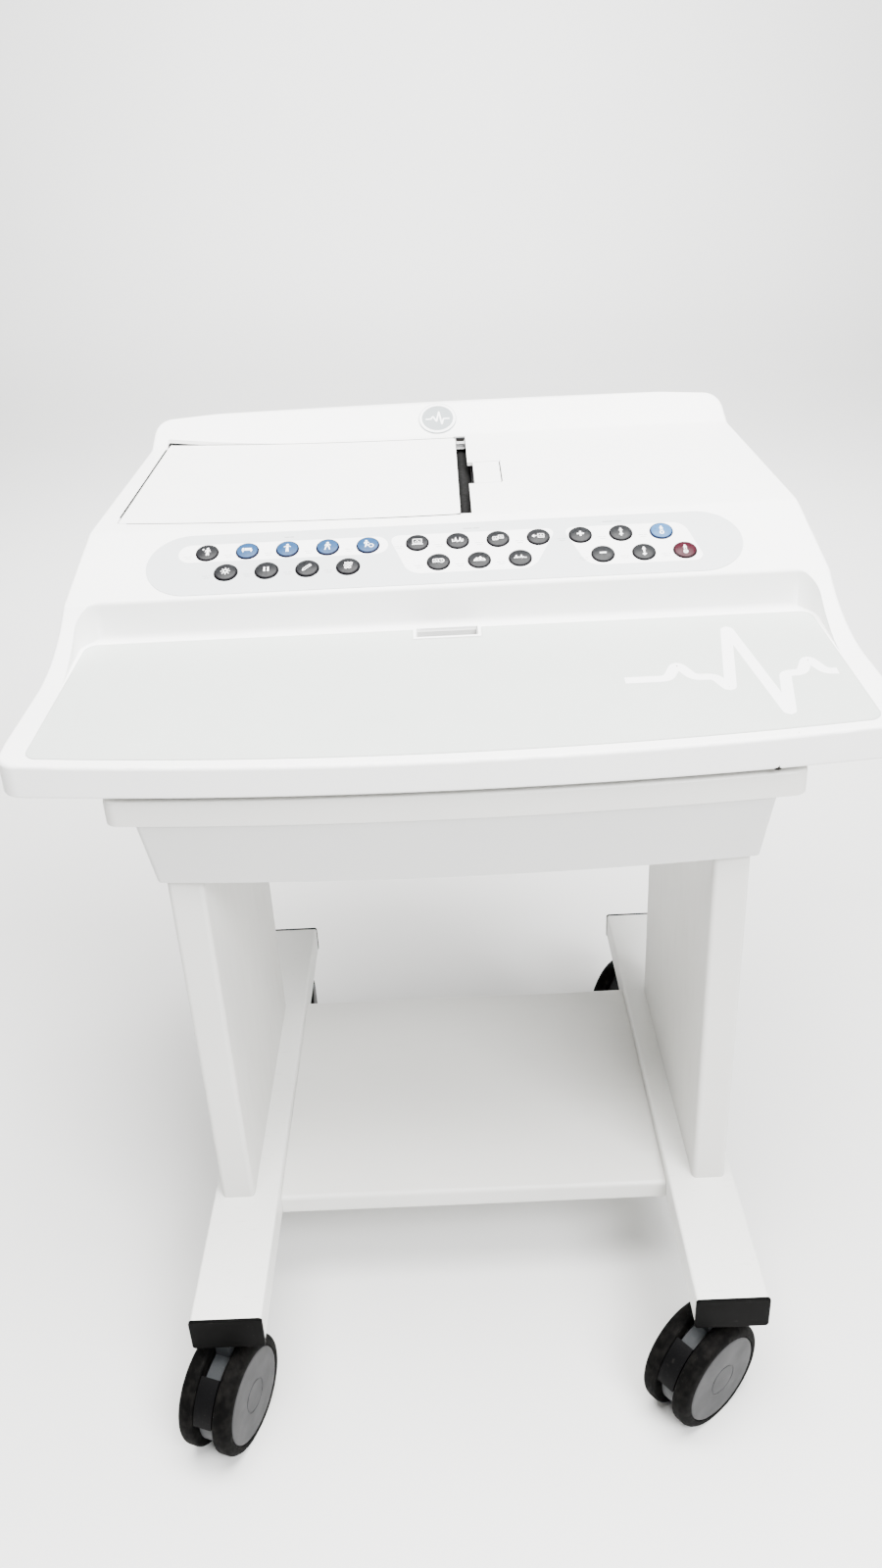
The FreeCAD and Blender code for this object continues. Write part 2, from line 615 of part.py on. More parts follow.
def cable_slot_tool(grow, z_span):
    """The rounded cut for the keyboard cable at the back of the tray."""
    half, depth = CABLE_SLOT
    x_span = (-half - grow, half + grow)
    y_span = (TRAY_BACK_Y - 8.0 - depth - grow, TRAY_BACK_Y - 8.0 + grow)
    return box(x_span, y_span, z_span)


def console_shell():
    outer = case_block().cut(tray_pocket())
    for cutter in back_edge_cutters():
        outer = outer.cut(cutter)
    cavity = along_z(case_plan().makeOffset2D(-CASE_WALL), (CASE_BOTTOM - 5, 900))
    cavity = cavity.makeFillet(CASE_CORNER_R - CASE_WALL, upright_edges(cavity, lambda y: y < 160 or y > 600))
    inner = along_x(case_profile(CASE_WALL), (-450, 450))
    skirt = box((-450, 450), (60, 790), (CASE_BOTTOM - 5, CASE_BOTTOM + 8))
    inner = inner.fuse(skirt).common(cavity)
    inner = inner.cut(tray_pocket(CASE_WALL, CASE_WALL))
    shell = outer.cut(inner)
    shell = shell.cut(deck_opening())
    start, direction, length = hinge_line()
    bore = cylinder(HINGE_PIN_R + RUNNING, length + 12.0, start - direction * 6.0, direction)
    shell = shell.cut(on_deck(bore))
    rim = cable_slot_tool(CABLE_SLOT_RIM, (680, 900))
    rim = rim.common(tray_layer(0.0, 1.6)).cut(box((-60, 60), (TRAY_BACK_Y - 8.0, 400), (600, 900)))
    shell = shell.fuse(rim).cut(cable_slot_tool(0.0, (690, 740)))
    holes = [cylinder(KEY_R + KEY_GAP, 20, V(x, v, -10)) for name, x, v in key_places()]
    shell = shell.cut(on_facet(Part.makeCompound(holes)))
    return shell.cut(rear_panel_cut())


def tray_layer(low, high):
    """The slab between two heights above the tray's surface."""
    outline = [(40, tray_z(40) + low, 0), (TRAY_BACK_Y, tray_z(TRAY_BACK_Y) + low, 0),
               (TRAY_BACK_Y, tray_z(TRAY_BACK_Y) + high, 0), (40, tray_z(40) + high, 0)]
    return along_x(rounded_wire(outline), (-CASE_HALF_FRONT, CASE_HALF_FRONT))


def tray_mat():
    """A thin printed film on the tray, cut round the cable slot."""
    outline = bowed_outline(*MAT_HALF, MAT_Y[0], MAT_Y[1], MAT_BOW)
    film = along_z(outline, (680, 760))
    film = film.makeFillet(13.0, upright_edges(film)).common(tray_layer(0.0, MAT_THICK))
    return film.cut(cable_slot_tool(CABLE_SLOT_RIM + 0.5, (680, 760)))


# ---- keypad ----------------------------------------------------------------------------------
def key_places():
    """Every key's name, place across the console and place up the facet."""
    places = []
    for group, rows in KEY_GROUPS.items():
        for row, (first, count) in rows.items():
            for index in range(count):
                places.append((f"{group}_key_{row}_{index + 1}", first + index * KEY_PITCH, KEY_ROWS[row]))
    return places


def key():
    """Round domed key with a flange that keeps it behind the casing, drawn at the facet's origin."""
    dome_r = 60.0
    cap = cylinder(KEY_R, KEY_PROUD + CASE_WALL + 0.5, V(0, 0, -CASE_WALL - 0.5))
    dome = Part.makeSphere(dome_r, V(0, 0, KEY_PROUD - dome_r))
    cap = cap.common(dome)
    rim_z = KEY_PROUD - 2.0
    cap = cap.makeFillet(0.8, edges_at(cap, lambda p: p.z > rim_z and math.hypot(p.x, p.y) > KEY_R - 0.1))
    flange = cylinder(KEY_R + 1.6, 1.2, V(0, 0, -CASE_WALL - 1.7))
    stem = cylinder(4.5, 6.3, V(0, 0, -CASE_WALL - 8.0))
    return fuse([cap, flange, stem])


def keypad_overlay():
    middle = (PILL_V[0] + PILL_V[1]) / 2
    half = (PILL_V[1] - PILL_V[0]) / 2
    pill = box((-PILL_HALF, PILL_HALF), PILL_V, (0, PILL_THICK))
    pill = pill.makeFillet(half - 0.01, upright_edges(pill))
    holes = [cylinder(KEY_R + KEY_GAP, 4, V(x, v, -1)) for name, x, v in key_places()]
    return on_facet(pill.cut(Part.makeCompound(holes)))


def circuit_boards():
    """The keypad's board below the keys and the main board on the console's floor."""
    top = -CASE_WALL - 8.0 - KEY_TRAVEL - 0.7
    keypad = on_facet(box((-290, 290), (10, 92), (top - 1.6, top)))
    main = box((70, 330), (400, 545), (684, 686))
    posts = [cylinder(4, 16, V(x, y, CASE_BOTTOM + 3)) for x in (80, 320) for y in (410, 535)]
    chips = [box((x, x + 30), (y, y + 30), (686, 689)) for x in (110, 190, 260) for y in (425, 480)]
    return Part.makeCompound([keypad, fuse([main] + posts + chips)])


# ---- writer ----------------------------------------------------------------------------------
def paper_bed():
    """Open-topped tray for the folded paper, with the roller's two end brackets."""
    outer = box(BED_X, BED_V, (-BED_DEPTH - BED_WALL, -5.2))
    inner_x = (BED_X[0] + BED_WALL, BED_X[1] - BED_WALL)
    inner = box(inner_x, (BED_V[0] + BED_WALL, BED_V[1] - BED_WALL), (-BED_DEPTH, 5))
    bed = outer.cut(inner)
    lip = box((BED_X[1] - BED_WALL - 1, BED_X[1] + 1), (BED_V[0] - 1, BED_V[1] + 1), (ROLLER_AT[1] + 2, 0))
    brackets = []
    for low in (5.5, ROLLER_V[1] + 2.0):
        brackets.append(box((BED_X[1] - 6, 52), (low, low + 4.5), (-BED_DEPTH, -5.2)))
    floor = box((BED_X[1] - 6, 52), (5.5, ROLLER_V[1] + 6.5), (-BED_DEPTH - BED_WALL, -BED_DEPTH))
    tip = box((SLOT_X[0] + 1, SLOT_X[1] - 0.6), (ROLLER_V[1] + 2.0, ROLLER_V[1] + 6.5), (-6, -1.2))
    bed = fuse([bed.cut(lip), floor, tip] + brackets)
    bore = cylinder(SHAFT_R + RUNNING, 300, V(ROLLER_AT[0], -20, ROLLER_AT[1]), V(0, 1, 0))
    return on_deck(bed.cut(bore))


def platen_roller():
    """A rubber-covered roller and the steel shaft that it turns with."""
    x, depth = ROLLER_AT
    shaft = cylinder(SHAFT_R, 230, V(x, 4, depth), V(0, 1, 0))
    sleeve = cylinder(ROLLER_R, ROLLER_V[1] - ROLLER_V[0], V(x, ROLLER_V[0], depth), V(0, 1, 0))
    return on_deck(Part.makeCompound([sleeve.cut(shaft), shaft]))


def writer_motor():
    """Motor in line with the roller, with a blind bore that the shaft's end runs in."""
    x, depth = ROLLER_AT
    body = cylinder(15.0, 30, V(x, 227, depth), V(0, 1, 0))
    body = body.cut(cylinder(SHAFT_R + RUNNING, 10, V(x, 225, depth), V(0, 1, 0)))
    flange = box((x - 14, x + 14), (226.2, 228.2), (depth - 14, depth + 14))
    flange = flange.cut(cylinder(SHAFT_R + RUNNING, 10, V(x, 220, depth), V(0, 1, 0)))
    return on_deck(fuse([body, flange]))


def print_head():
    """A heated bar beside the roller, on its finned carrier."""
    x, depth = ROLLER_AT
    bar = box((x + ROLLER_R + 0.6, x + ROLLER_R + 3.6), (13, 217), (depth - 4, depth + 4))
    carrier = box((x + ROLLER_R + 3.6, x + ROLLER_R + 12), (13, 217), (depth - 12, depth + 6))
    return on_deck(fuse([bar, carrier]))


def door_release_button():
    """Pressed square button with a stem into the latch."""
    cap = box(BUTTON_X, BUTTON_V, (-CASE_WALL - 1, 0.4))
    cap = cap.makeFillet(1.6, upright_edges(cap))
    cap = cap.makeFillet(0.5, edges_at(cap, lambda p: abs(p.z - 0.4) < 1e-3))
    stem = box((58, 64), (BUTTON_V[0] + 24, BUTTON_V[0] + 36), (-24, -CASE_WALL - 1))
    flange_x = (BUTTON_X[0] + 10, BUTTON_X[1] + 2.5)
    flange_v = (BUTTON_V[0] - 2.5, BUTTON_V[1] + 2.5)
    flange = box(flange_x, flange_v, (-CASE_WALL - 2.4, -CASE_WALL - 0.6))
    return on_deck(fuse([cap, flange, stem]))


def badge():
    middle = math.hypot(CASE_REAR_Y - RISE_START[0], CASE_TOP - RISE_START[1]) / 2 + 1.0
    disc = cylinder(BADGE_R, 1.4, V(0, middle, 0))
    disc = disc.makeFillet(0.5, edges_at(disc, lambda p: p.z > 1.3))
    return on_slope(disc, RISE_SLOPE, RISE_START)


# ---- floor and back of the console -----------------------------------------------------------
def rear_panel_cut():
    return box(REAR_PANEL_X, (REAR_PANEL_Y - 6, 780), REAR_PANEL_Z)


def rear_panel():
    """Recessed connector plate with the mains inlet, an equipotential pin and three sockets."""
    margin = 6.0
    x_span = (REAR_PANEL_X[0] - margin, REAR_PANEL_X[1] + margin)
    z_span = (REAR_PANEL_Z[0] - margin, REAR_PANEL_Z[1] + margin)
    plate = box(x_span, (REAR_PANEL_Y - 2.0, REAR_PANEL_Y), z_span)
    middle = (REAR_PANEL_Z[0] + REAR_PANEL_Z[1]) / 2
    inlet_x = (REAR_PANEL_X[1] - 40, REAR_PANEL_X[1] - 8)
    inlet = box(inlet_x, (REAR_PANEL_Y - 18, REAR_PANEL_Y + 2), (middle - 13, middle + 13))
    well_y = (REAR_PANEL_Y - 14, REAR_PANEL_Y + 4)
    wells = [box((inlet_x[0] + 3, inlet_x[1] - 3), well_y, (middle - 9, middle + 9))]
    blades = []
    for x in (inlet_x[0] + 8, inlet_x[0] + 15, inlet_x[0] + 22):
        blades.append(box((x, x + 2), (REAR_PANEL_Y - 16, REAR_PANEL_Y - 2), (middle - 3, middle + 3)))
    pin = cylinder(3.0, 12, V(inlet_x[0] - 14, REAR_PANEL_Y - 2, middle), V(0, 1, 0))
    sockets = []
    for index in range(3):
        x = REAR_PANEL_X[0] + 12 + index * 34
        sockets.append(box((x, x + 26), (REAR_PANEL_Y - 12, REAR_PANEL_Y + 2.5), (middle - 9, middle + 9)))
        wells.append(box((x + 3, x + 23), (REAR_PANEL_Y - 9, REAR_PANEL_Y + 4), (middle - 6, middle + 6)))
    body = fuse([plate, inlet, pin] + sockets)
    return fuse([body.cut(Part.makeCompound(wells))] + blades)


def power_supply():
    """Open-frame supply in a folded cover."""
    case = box((130, 320), (575, 700), (672, 716))
    case = case.makeFillet(3.0, upright_edges(case))
    lugs = [box((x, x + 12), (600, 675), (CASE_BOTTOM + 3, 674)) for x in (140, 298)]
    return fuse([case] + lugs)


def console_base():
    """Bottom pan that closes the casing, with four moulded feet that stand on the trolley's plate."""
    outline = case_plan().makeOffset2D(-CASE_WALL - 0.3)
    pan = along_z(outline, (CASE_BOTTOM, CASE_BOTTOM + 3))
    pan = pan.makeFillet(CASE_CORNER_R - CASE_WALL, upright_edges(pan, lambda y: y < 160 or y > 600))
    for side in (-1, 1):
        for index in range(9):
            x = side * (120 + index * 14) - 3
            pan = pan.cut(box((x, x + 6), (640, 690), (CASE_BOTTOM - 1, CASE_BOTTOM + 5)))
    feet = [cylinder(FOOT_R, CASE_BOTTOM - PLATE_Z[1], V(x, y, PLATE_Z[1])) for x, y in FOOT_AT]
    pan = fuse([pan] + feet)
    for x, y in FOOT_AT:
        pan = pan.cut(cylinder(BOLT_HOLE_R, 12, V(x, y, PLATE_Z[1] - 1)))
    return pan


# ---- everything, by name ---------------------------------------------------------------------
def all_pieces():
    pieces = {"left_rail": mirrored(rail()), "right_rail": rail()}
    caps = [rail_end_cap(0.0, -1), rail_end_cap(RAIL_LENGTH, 1)]
    pieces["rail_end_caps"] = Part.makeCompound(caps + [mirrored(cap) for cap in caps])
    pieces["left_side_panel"] = mirrored(side_panel())
    pieces["right_side_panel"] = side_panel()
    pieces["lower_shelf"] = lower_shelf()
    pieces["apron"] = apron()
    pieces["cart_top_plate"] = cart_top_plate()
    pieces["fasteners"] = fasteners()
    pieces["caster_stems"] = Part.makeCompound([to_caster(caster_stem(), name) for name in CASTERS])
    tyres = Part.makeCompound([tyre(), mirrored(tyre())])
    wheel_set = Part.makeCompound([hub(), axle(), mirrored(hub())])
    for name, caster in CASTERS.items():
        pieces[f"{name}_caster_housing"] = to_caster(caster_housing(), name)
        pieces[f"{name}_wheels"] = to_caster(wheel_set, name)
        pieces[f"{name}_tyres"] = to_caster(tyres, name)
        if caster["braked"]:
            pieces[f"{name}_brake_pedal"] = to_caster(brake_pedal(), name)
    pieces["console_base"] = console_base()
    pieces["console_shell"] = console_shell()
    pieces["tray_mat"] = tray_mat()
    pieces["keypad_overlay"] = keypad_overlay()
    pieces["badge"] = badge()
    pieces["printer_door"] = printer_door()
    pieces["door_release_button"] = door_release_button()
    pieces["paper_bed"] = paper_bed()
    pieces["platen_roller"] = platen_roller()
    pieces["writer_motor"] = writer_motor()
    pieces["print_head"] = print_head()
    pieces["circuit_boards"] = circuit_boards()
    pieces["power_supply"] = power_supply()
    pieces["rear_panel"] = rear_panel()
    for name, x, v in key_places():
        moved = key()
        moved.translate(V(x, v, 0))
        pieces[name] = on_facet(moved)
    return pieces


def middle_y(pieces):
    """The y of the bounding box's middle, from the front tyres to the casing's bowed rear."""
    front = min(pieces[f"{name}_tyres"].optimalBoundingBox(False, False).YMin for name in CASTERS)
    return (front + CASE_REAR_Y + REAR_BOW) / 2


def save_all():
    pieces = all_pieces()
    shift = V(0, -middle_y(pieces), 0)
    os.makedirs("parts", exist_ok=True)
    for name, shape in pieces.items():
        shape.translate(shift)
        shape.exportStep(f"parts/{name}.step")
        print(name, "valid" if shape.isValid() else "NOT VALID", len(shape.Solids), "solids")


if __name__ == "__main__":
    save_all()
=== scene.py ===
"""Exercise-test console on a trolley: its surfaces, fine pieces, studio and camera.

Everything is in metres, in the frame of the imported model: the floor is z = 0, the operator
stands on the -Y side and the keypad's right-hand end is at +X.
"""
import json
import math

import bpy
from mathutils import Matrix, Vector


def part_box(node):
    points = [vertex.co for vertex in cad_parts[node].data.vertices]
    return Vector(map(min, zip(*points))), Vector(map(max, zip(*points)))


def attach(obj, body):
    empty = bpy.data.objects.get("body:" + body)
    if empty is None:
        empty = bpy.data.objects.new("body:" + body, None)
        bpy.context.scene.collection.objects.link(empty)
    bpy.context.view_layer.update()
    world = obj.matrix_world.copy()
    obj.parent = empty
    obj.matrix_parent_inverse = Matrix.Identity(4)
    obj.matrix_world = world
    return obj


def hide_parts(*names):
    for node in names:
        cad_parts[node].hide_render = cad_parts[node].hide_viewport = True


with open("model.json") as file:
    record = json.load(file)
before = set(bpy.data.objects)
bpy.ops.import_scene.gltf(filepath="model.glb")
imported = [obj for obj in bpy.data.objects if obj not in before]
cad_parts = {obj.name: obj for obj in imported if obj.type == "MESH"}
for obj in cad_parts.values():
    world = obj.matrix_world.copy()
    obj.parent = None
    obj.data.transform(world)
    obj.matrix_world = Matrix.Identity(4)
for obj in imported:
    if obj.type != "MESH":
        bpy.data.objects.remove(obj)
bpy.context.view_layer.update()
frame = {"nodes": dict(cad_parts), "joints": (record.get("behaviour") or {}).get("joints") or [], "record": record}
MM = 0.001

JOINTS = {joint["name"]: joint for joint in frame["joints"]}
NODES = frame["nodes"]
BODY_OF = {node: body for body, nodes in frame["record"]["behaviour"]["bodies"].items() for node in nodes}
SLOT_OF = {part["node"]: part["material_slot"] for part in frame["record"]["subparts"]}

CASTERS = ("front_left", "front_right", "rear_left", "rear_right")

# Camera: at the operator's eye, looking down on the keypad.
CAMERA_AT = (0.0027, -1.1458, 1.1579)
CAMERA_TURN = (62.201, 2.709, -0.585)
CAMERA_LENS = 27.86

# A key, in millimetres: its crown is part of a ball, and stands so far above the key's seat.
KEY_DOME_R = 60.0
KEY_CROWN = 3.2
KEY_RIM_R = 10.6
KEY_TOP_R = 10.45       # inside this, the cap has its own colour; outside it, the rim and skirt are painted shade


# ---- working by hand -----------------------------------------------------------------------------
def clear_selection():
    bpy.ops.object.select_all(action="DESELECT")


def take(piece):
    """Make one object the only one selected, and the active one."""
    clear_selection()
    piece.select_set(True)
    bpy.context.view_layer.objects.active = piece
    return piece


def editing(piece):
    take(piece)
    bpy.ops.object.mode_set(mode="EDIT")
    bpy.ops.mesh.select_mode(type="VERT")
    bpy.ops.mesh.select_all(action="SELECT")


def done_editing():
    bpy.ops.object.mode_set(mode="OBJECT")


def choose_faces(piece, test):
    """In edit mode, select just the faces whose centre and normal pass a test."""
    bpy.ops.mesh.select_mode(type="FACE")
    bpy.ops.mesh.select_all(action="DESELECT")
    done_editing()
    for face in piece.data.polygons:
        face.select = test(face.center, face.normal)
    bpy.ops.object.mode_set(mode="EDIT")


def apply_modifier(piece, kind, **settings):
    modifier = piece.modifiers.new(kind.title(), kind)
    for key, value in settings.items():
        setattr(modifier, key, value)
    take(piece)
    bpy.ops.object.modifier_apply(modifier=modifier.name)


def soften(piece, angle=35.0):
    """Smooth shading that keeps flat faces flat."""
    take(piece)
    bpy.ops.object.shade_smooth_by_angle(angle=math.radians(angle))
    apply_modifier(piece, "WEIGHTED_NORMAL", keep_sharp=True, weight=60)


def finish_piece(piece, name, body, slot, *finishes):
    """Name a piece, give it its finishes and fix it to its body."""
    piece.name = name
    piece.data.name = name
    if finishes:
        piece.data.materials.clear()
    for finish in finishes:
        piece.data.materials.append(finish)
    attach(piece, body)
    return piece


def block(size, at, round_edges=0.0, segments=3):
    """A block with its edges rounded, as a start for a piece."""
    clear_selection()
    bpy.ops.mesh.primitive_cube_add(size=1.0)
    piece = bpy.context.object
    piece.data.transform(Matrix.Translation(at) @ Matrix.Diagonal((*size, 1.0)))
    if round_edges:
        editing(piece)
        bpy.ops.mesh.bevel(offset=round_edges, segments=segments, affect="EDGES")
        done_editing()
    return piece


def turned(profile, steps=64):
    """A shape turned about Z from (radius, height) points in millimetres."""
    clear_selection()
    bpy.ops.mesh.primitive_plane_add(size=MM)
    piece = bpy.context.object
    editing(piece)
    bpy.ops.mesh.merge(type="CENTER")
    bpy.ops.transform.translate(value=(profile[0][0] * MM, 0, profile[0][1] * MM))
    for before, after in zip(profile, profile[1:]):
        step = ((after[0] - before[0]) * MM, 0, (after[1] - before[1]) * MM)
        bpy.ops.mesh.extrude_vertices_move(TRANSFORM_OT_translate={"value": step})
    bpy.ops.mesh.select_all(action="SELECT")
    bpy.ops.mesh.spin(steps=steps, angle=2 * math.pi, center=(0, 0, 0), axis=(0, 0, 1))
    bpy.ops.mesh.select_all(action="SELECT")
    bpy.ops.mesh.remove_doubles(threshold=0.005 * MM)
    bpy.ops.mesh.normals_make_consistent(inside=False)
    done_editing()
    return piece


def plate(corners, thickness, corner_r, segments=8):
    """A thin flat plate on z = 0 through (x, y) corners in metres, with rounded corners."""
    clear_selection()
    bpy.ops.mesh.primitive_circle_add(vertices=len(corners), radius=1.0, fill_type="NGON")
    piece = bpy.context.object
    for vertex, (x, y) in zip(piece.data.vertices, corners):
        vertex.co = (x, y, 0)
    editing(piece)
    bpy.ops.mesh.bevel(offset=corner_r, segments=segments, affect="VERTICES")
    bpy.ops.mesh.select_all(action="SELECT")
    bpy.ops.mesh.extrude_region_move(TRANSFORM_OT_translate={"value": (0, 0, thickness)})
    bpy.ops.mesh.select_all(action="SELECT")
    bpy.ops.mesh.normals_make_consistent(inside=False)
    done_editing()
    return piece


def drawn(strokes):
    """Round strokes as one mesh: each is (points, closed), and a point is (x, y, z, width) in mm."""
    clear_selection()
    bpy.ops.curve.primitive_bezier_curve_add()
    piece = bpy.context.object
    curve = piece.data
    curve.splines.clear()
    curve.dimensions = "3D"
    curve.bevel_depth = 0.5
    curve.bevel_resolution = 2
    curve.use_fill_caps = True
    for points, closed in strokes:
        spline = curve.splines.new("POLY")
        spline.points.add(len(points) - 1)
        for spot, (x, y, z, width) in zip(spline.points, points):
            spot.co = (x * MM, y * MM, z * MM, 1)
            spot.radius = width * MM
        spline.use_cyclic_u = closed
    take(piece)
    bpy.ops.object.convert(target="MESH")
    return bpy.context.object


def inked(strokes, depth=0.1):
    """Printed lines as one low raised mesh: strokes are (points, width, closed), in millimetres."""
    piece = drawn([([(x, y, 0, width) for x, y in points], closed) for points, width, closed in strokes])
    for vertex in piece.data.vertices:
        vertex.co.z *= depth
    return piece


def ring_points(x, y, radius, count=24, start=0.0, sweep=360.0):
    """Points along a circle or an arc of one."""
    last = count if sweep >= 360.0 else count - 1
    angles = [math.radians(start + sweep * index / last) for index in range(count)]
    return [(x + radius * math.cos(a), y + radius * math.sin(a)) for a in angles]


def walked(points, step=1.0):
    """The same path with a point at least every `step`, so that it can follow a dome."""
    path = [points[0]]
    for (x0, y0), (x1, y1) in zip(points, points[1:]):
        count = max(1, math.ceil(math.hypot(x1 - x0, y1 - y0) / step))
        path += [(x0 + (x1 - x0) * i / count, y0 + (y1 - y0) * i / count) for i in range(1, count + 1)]
    return path


def eased(points, radius, count=6):
    """The same path with its corners rounded."""
    path = [points[0]]
    for before, corner, after in zip(points, points[1:], points[2:]):
        here = Vector(corner)
        back = (Vector(before) - here).normalized() * radius
        on = (Vector(after) - here).normalized() * radius
        for index in range(count + 1):
            t = index / count
            path.append(tuple(here + back * (1 - t) ** 2 + on * t ** 2))
    return path + [points[-1]]


def joined(pieces):
    clear_selection()
    for piece in pieces:
        piece.select_set(True)
    bpy.context.view_layer.objects.active = pieces[0]
    bpy.ops.object.join()
    return bpy.context.object


def copied(piece):
    twin = bpy.data.objects.new(piece.name, piece.data.copy())
    bpy.context.scene.collection.objects.link(twin)
    return twin


def along(origin, normal, right):
    """The matrix that puts a piece drawn flat on a surface, with its X axis near `right`."""
    up = Vector(normal).normalized()
    side = Vector(right)
    side = (side - up * side.dot(up)).normalized()
    other = up.cross(side)
    turn = Matrix((side, other, up)).transposed().to_4x4()
    return Matrix.Translation(origin) @ turn


def face_of(node, up, foot):
    """The matrix of a node's upper face: X to the right, Y up its slope, its origin over `foot`."""
    up = Vector(up).normalized()
    foot = Vector(foot) * MM
    return along(foot + up * (reach(node, up)[1] - foot.dot(up)), up, (1, 0, 0))


def laid(piece, place, name, slot, *finishes):
    """Put a piece drawn flat on a face of the console, and finish it."""
    piece.data.transform(place)
    soften(piece)
    return finish_piece(piece, name, "trolley", slot, *finishes)


def reach(node, direction):
    """How far a node goes along a direction, as (least, most)."""
    direction = Vector(direction)
    values = [vertex.co.dot(direction) for vertex in NODES[node].data.vertices]
    return min(values), max(values)


# ---- finishes ------------------------------------------------------------------------------------
class Finish:
    """A material being put together: its node tree, and its shader's sockets by name."""

    def __init__(self, name, color, rough, metal=0.0):
        self.material = bpy.data.materials.new(name)
        self.material.use_nodes = True
        self.tree = self.material.node_tree
        self.shader = self.tree.nodes["Principled BSDF"]
        self.color = (*color, 1.0)
        self.shader.inputs["Base Color"].default_value = self.color
        self.shader.inputs["Roughness"].default_value = rough
        self.shader.inputs["Metallic"].default_value = metal
        self.place = self.tree.nodes.new("ShaderNodeTexCoord").outputs["Object"]

    def link(self, source, target):
        self.tree.links.new(source, target)

    def noise(self, size, detail=3.0, stretch=(1, 1, 1)):
        """A noise whose spots are about `size` metres across, pulled out along the axes by `stretch`."""
        mapping = self.tree.nodes.new("ShaderNodeMapping")
        mapping.inputs["Scale"].default_value = [1 / (size * pull) for pull in stretch]
        self.link(self.place, mapping.inputs["Vector"])
        noise = self.tree.nodes.new("ShaderNodeTexNoise")
        noise.inputs["Scale"].default_value = 1.0
        noise.inputs["Detail"].default_value = detail
        self.link(mapping.outputs["Vector"], noise.inputs["Vector"])
        return noise.outputs["Fac"]

    def span(self, value, low, high, out_low=0.0, out_high=1.0):
        """Stretch the part of a value between two levels over another range."""
        node = self.tree.nodes.new("ShaderNodeMapRange")
        limits = {"From Min": low, "From Max": high, "To Min": out_low, "To Max": out_high}
        for socket, number in limits.items():
            node.inputs[socket].default_value = number
        self.link(value, node.inputs["Value"])
        return node.outputs["Result"]

    def height_mask(self, low, high):
        """1 at and below a height, fading to 0 at a higher one."""
        split = self.tree.nodes.new("ShaderNodeSeparateXYZ")
        self.link(self.place, split.inputs["Vector"])
        return self.span(split.outputs["Z"], low, high, 1.0, 0.0)

    def times(self, first, second):
        node = self.tree.nodes.new("ShaderNodeMath")
        node.operation = "MULTIPLY"
        self.link(first, node.inputs[0])
        if isinstance(second, float):
            node.inputs[1].default_value = second
        else:
            self.link(second, node.inputs[1])
        return node.outputs["Value"]

    def stain(self, mask, color):
        """Lay a colour over what is there, where a mask says."""
        mix = self.tree.nodes.new("ShaderNodeMix")
        mix.data_type = "RGBA"
        inputs = {socket.identifier: socket for socket in mix.inputs}
        base = self.shader.inputs["Base Color"]
        if base.is_linked:
            self.link(base.links[0].from_socket, inputs["A_Color"])
        else:
            inputs["A_Color"].default_value = self.color
        inputs["B_Color"].default_value = (*color, 1.0)
        self.link(mask, inputs["Factor_Float"])
        self.link({socket.identifier: socket for socket in mix.outputs}["Result_Color"], base)
        return self

    def uneven_gloss(self, value, low, high):
        self.link(self.span(value, 0.3, 0.7, low, high), self.shader.inputs["Roughness"])
        return self

    def dulled(self, shine):
        """The same finish, shining less than bare plastic does (0.5)."""
        self.shader.inputs["Specular IOR Level"].default_value = shine
        return self

    def relief(self, value, depth, strength=1.0):
        bump = self.tree.nodes.new("ShaderNodeBump")
        bump.inputs["Distance"].default_value = depth
        bump.inputs["Strength"].default_value = strength
        normal = self.shader.inputs["Normal"]
        if normal.is_linked:
            self.link(normal.links[0].from_socket, bump.inputs["Normal"])
        self.link(value, bump.inputs["Height"])
        self.link(bump.outputs["Normal"], normal)
        return self


def darker(color, amount):
    return tuple(channel * (1 - amount) for channel in color)


def moulded_plastic(name, color, rough=0.45, grain=0.6 * MM, depth=0.012 * MM,
                    dirt=(0.33, 0.31, 0.27), dirty=0.05):
    """Injection-moulded plastic: an even spark-eroded grain, a little mottling and handling marks."""
    finish = Finish(name, color, rough)
    finish.stain(finish.span(finish.noise(90 * MM, 4), 0.35, 0.75, 0.0, 0.5), darker(color, 0.05))
    marks = finish.span(finish.noise(7 * MM, 6), 0.64, 0.78, 0.0, dirty)
    finish.stain(marks, dirt)
    finish.uneven_gloss(finish.noise(22 * MM, 5), rough - 0.05, rough + 0.07)
    finish.relief(finish.noise(grain, 2), depth, 0.5)
    return finish


def powder_coat(name, color):
    """Baked powder on steel: a soft orange peel and faint scuffs near the floor."""
    finish = Finish(name, color, 0.36)
    finish.stain(finish.span(finish.noise(120 * MM, 3), 0.35, 0.7, 0.0, 0.5), darker(color, 0.05))
    scuffs = finish.span(finish.noise(5 * MM, 6, (4, 1, 1)), 0.62, 0.72, 0.0, 0.35)
    finish.stain(finish.times(scuffs, finish.height_mask(0.13, 0.19)), (0.35, 0.33, 0.30))
    finish.uneven_gloss(finish.noise(15 * MM, 4), 0.3, 0.42)
    finish.relief(finish.noise(2.2 * MM, 2), 0.02 * MM, 0.6)
    return finish


def laminate(name, color):
    """Board wrapped in a satin film: nearly smooth, with long faint wipe marks."""
    finish = Finish(name, color, 0.42)
    finish.stain(finish.span(finish.noise(160 * MM, 3), 0.35, 0.7, 0.0, 0.6), darker(color, 0.05))
    wipes = finish.noise(6 * MM, 5, (9, 2, 9))
    finish.stain(finish.span(wipes, 0.6, 0.8, 0.0, 0.1), (0.45, 0.43, 0.40))
    finish.uneven_gloss(wipes, 0.36, 0.5)
    finish.relief(finish.noise(0.9 * MM, 2), 0.01 * MM, 0.5)
    return finish


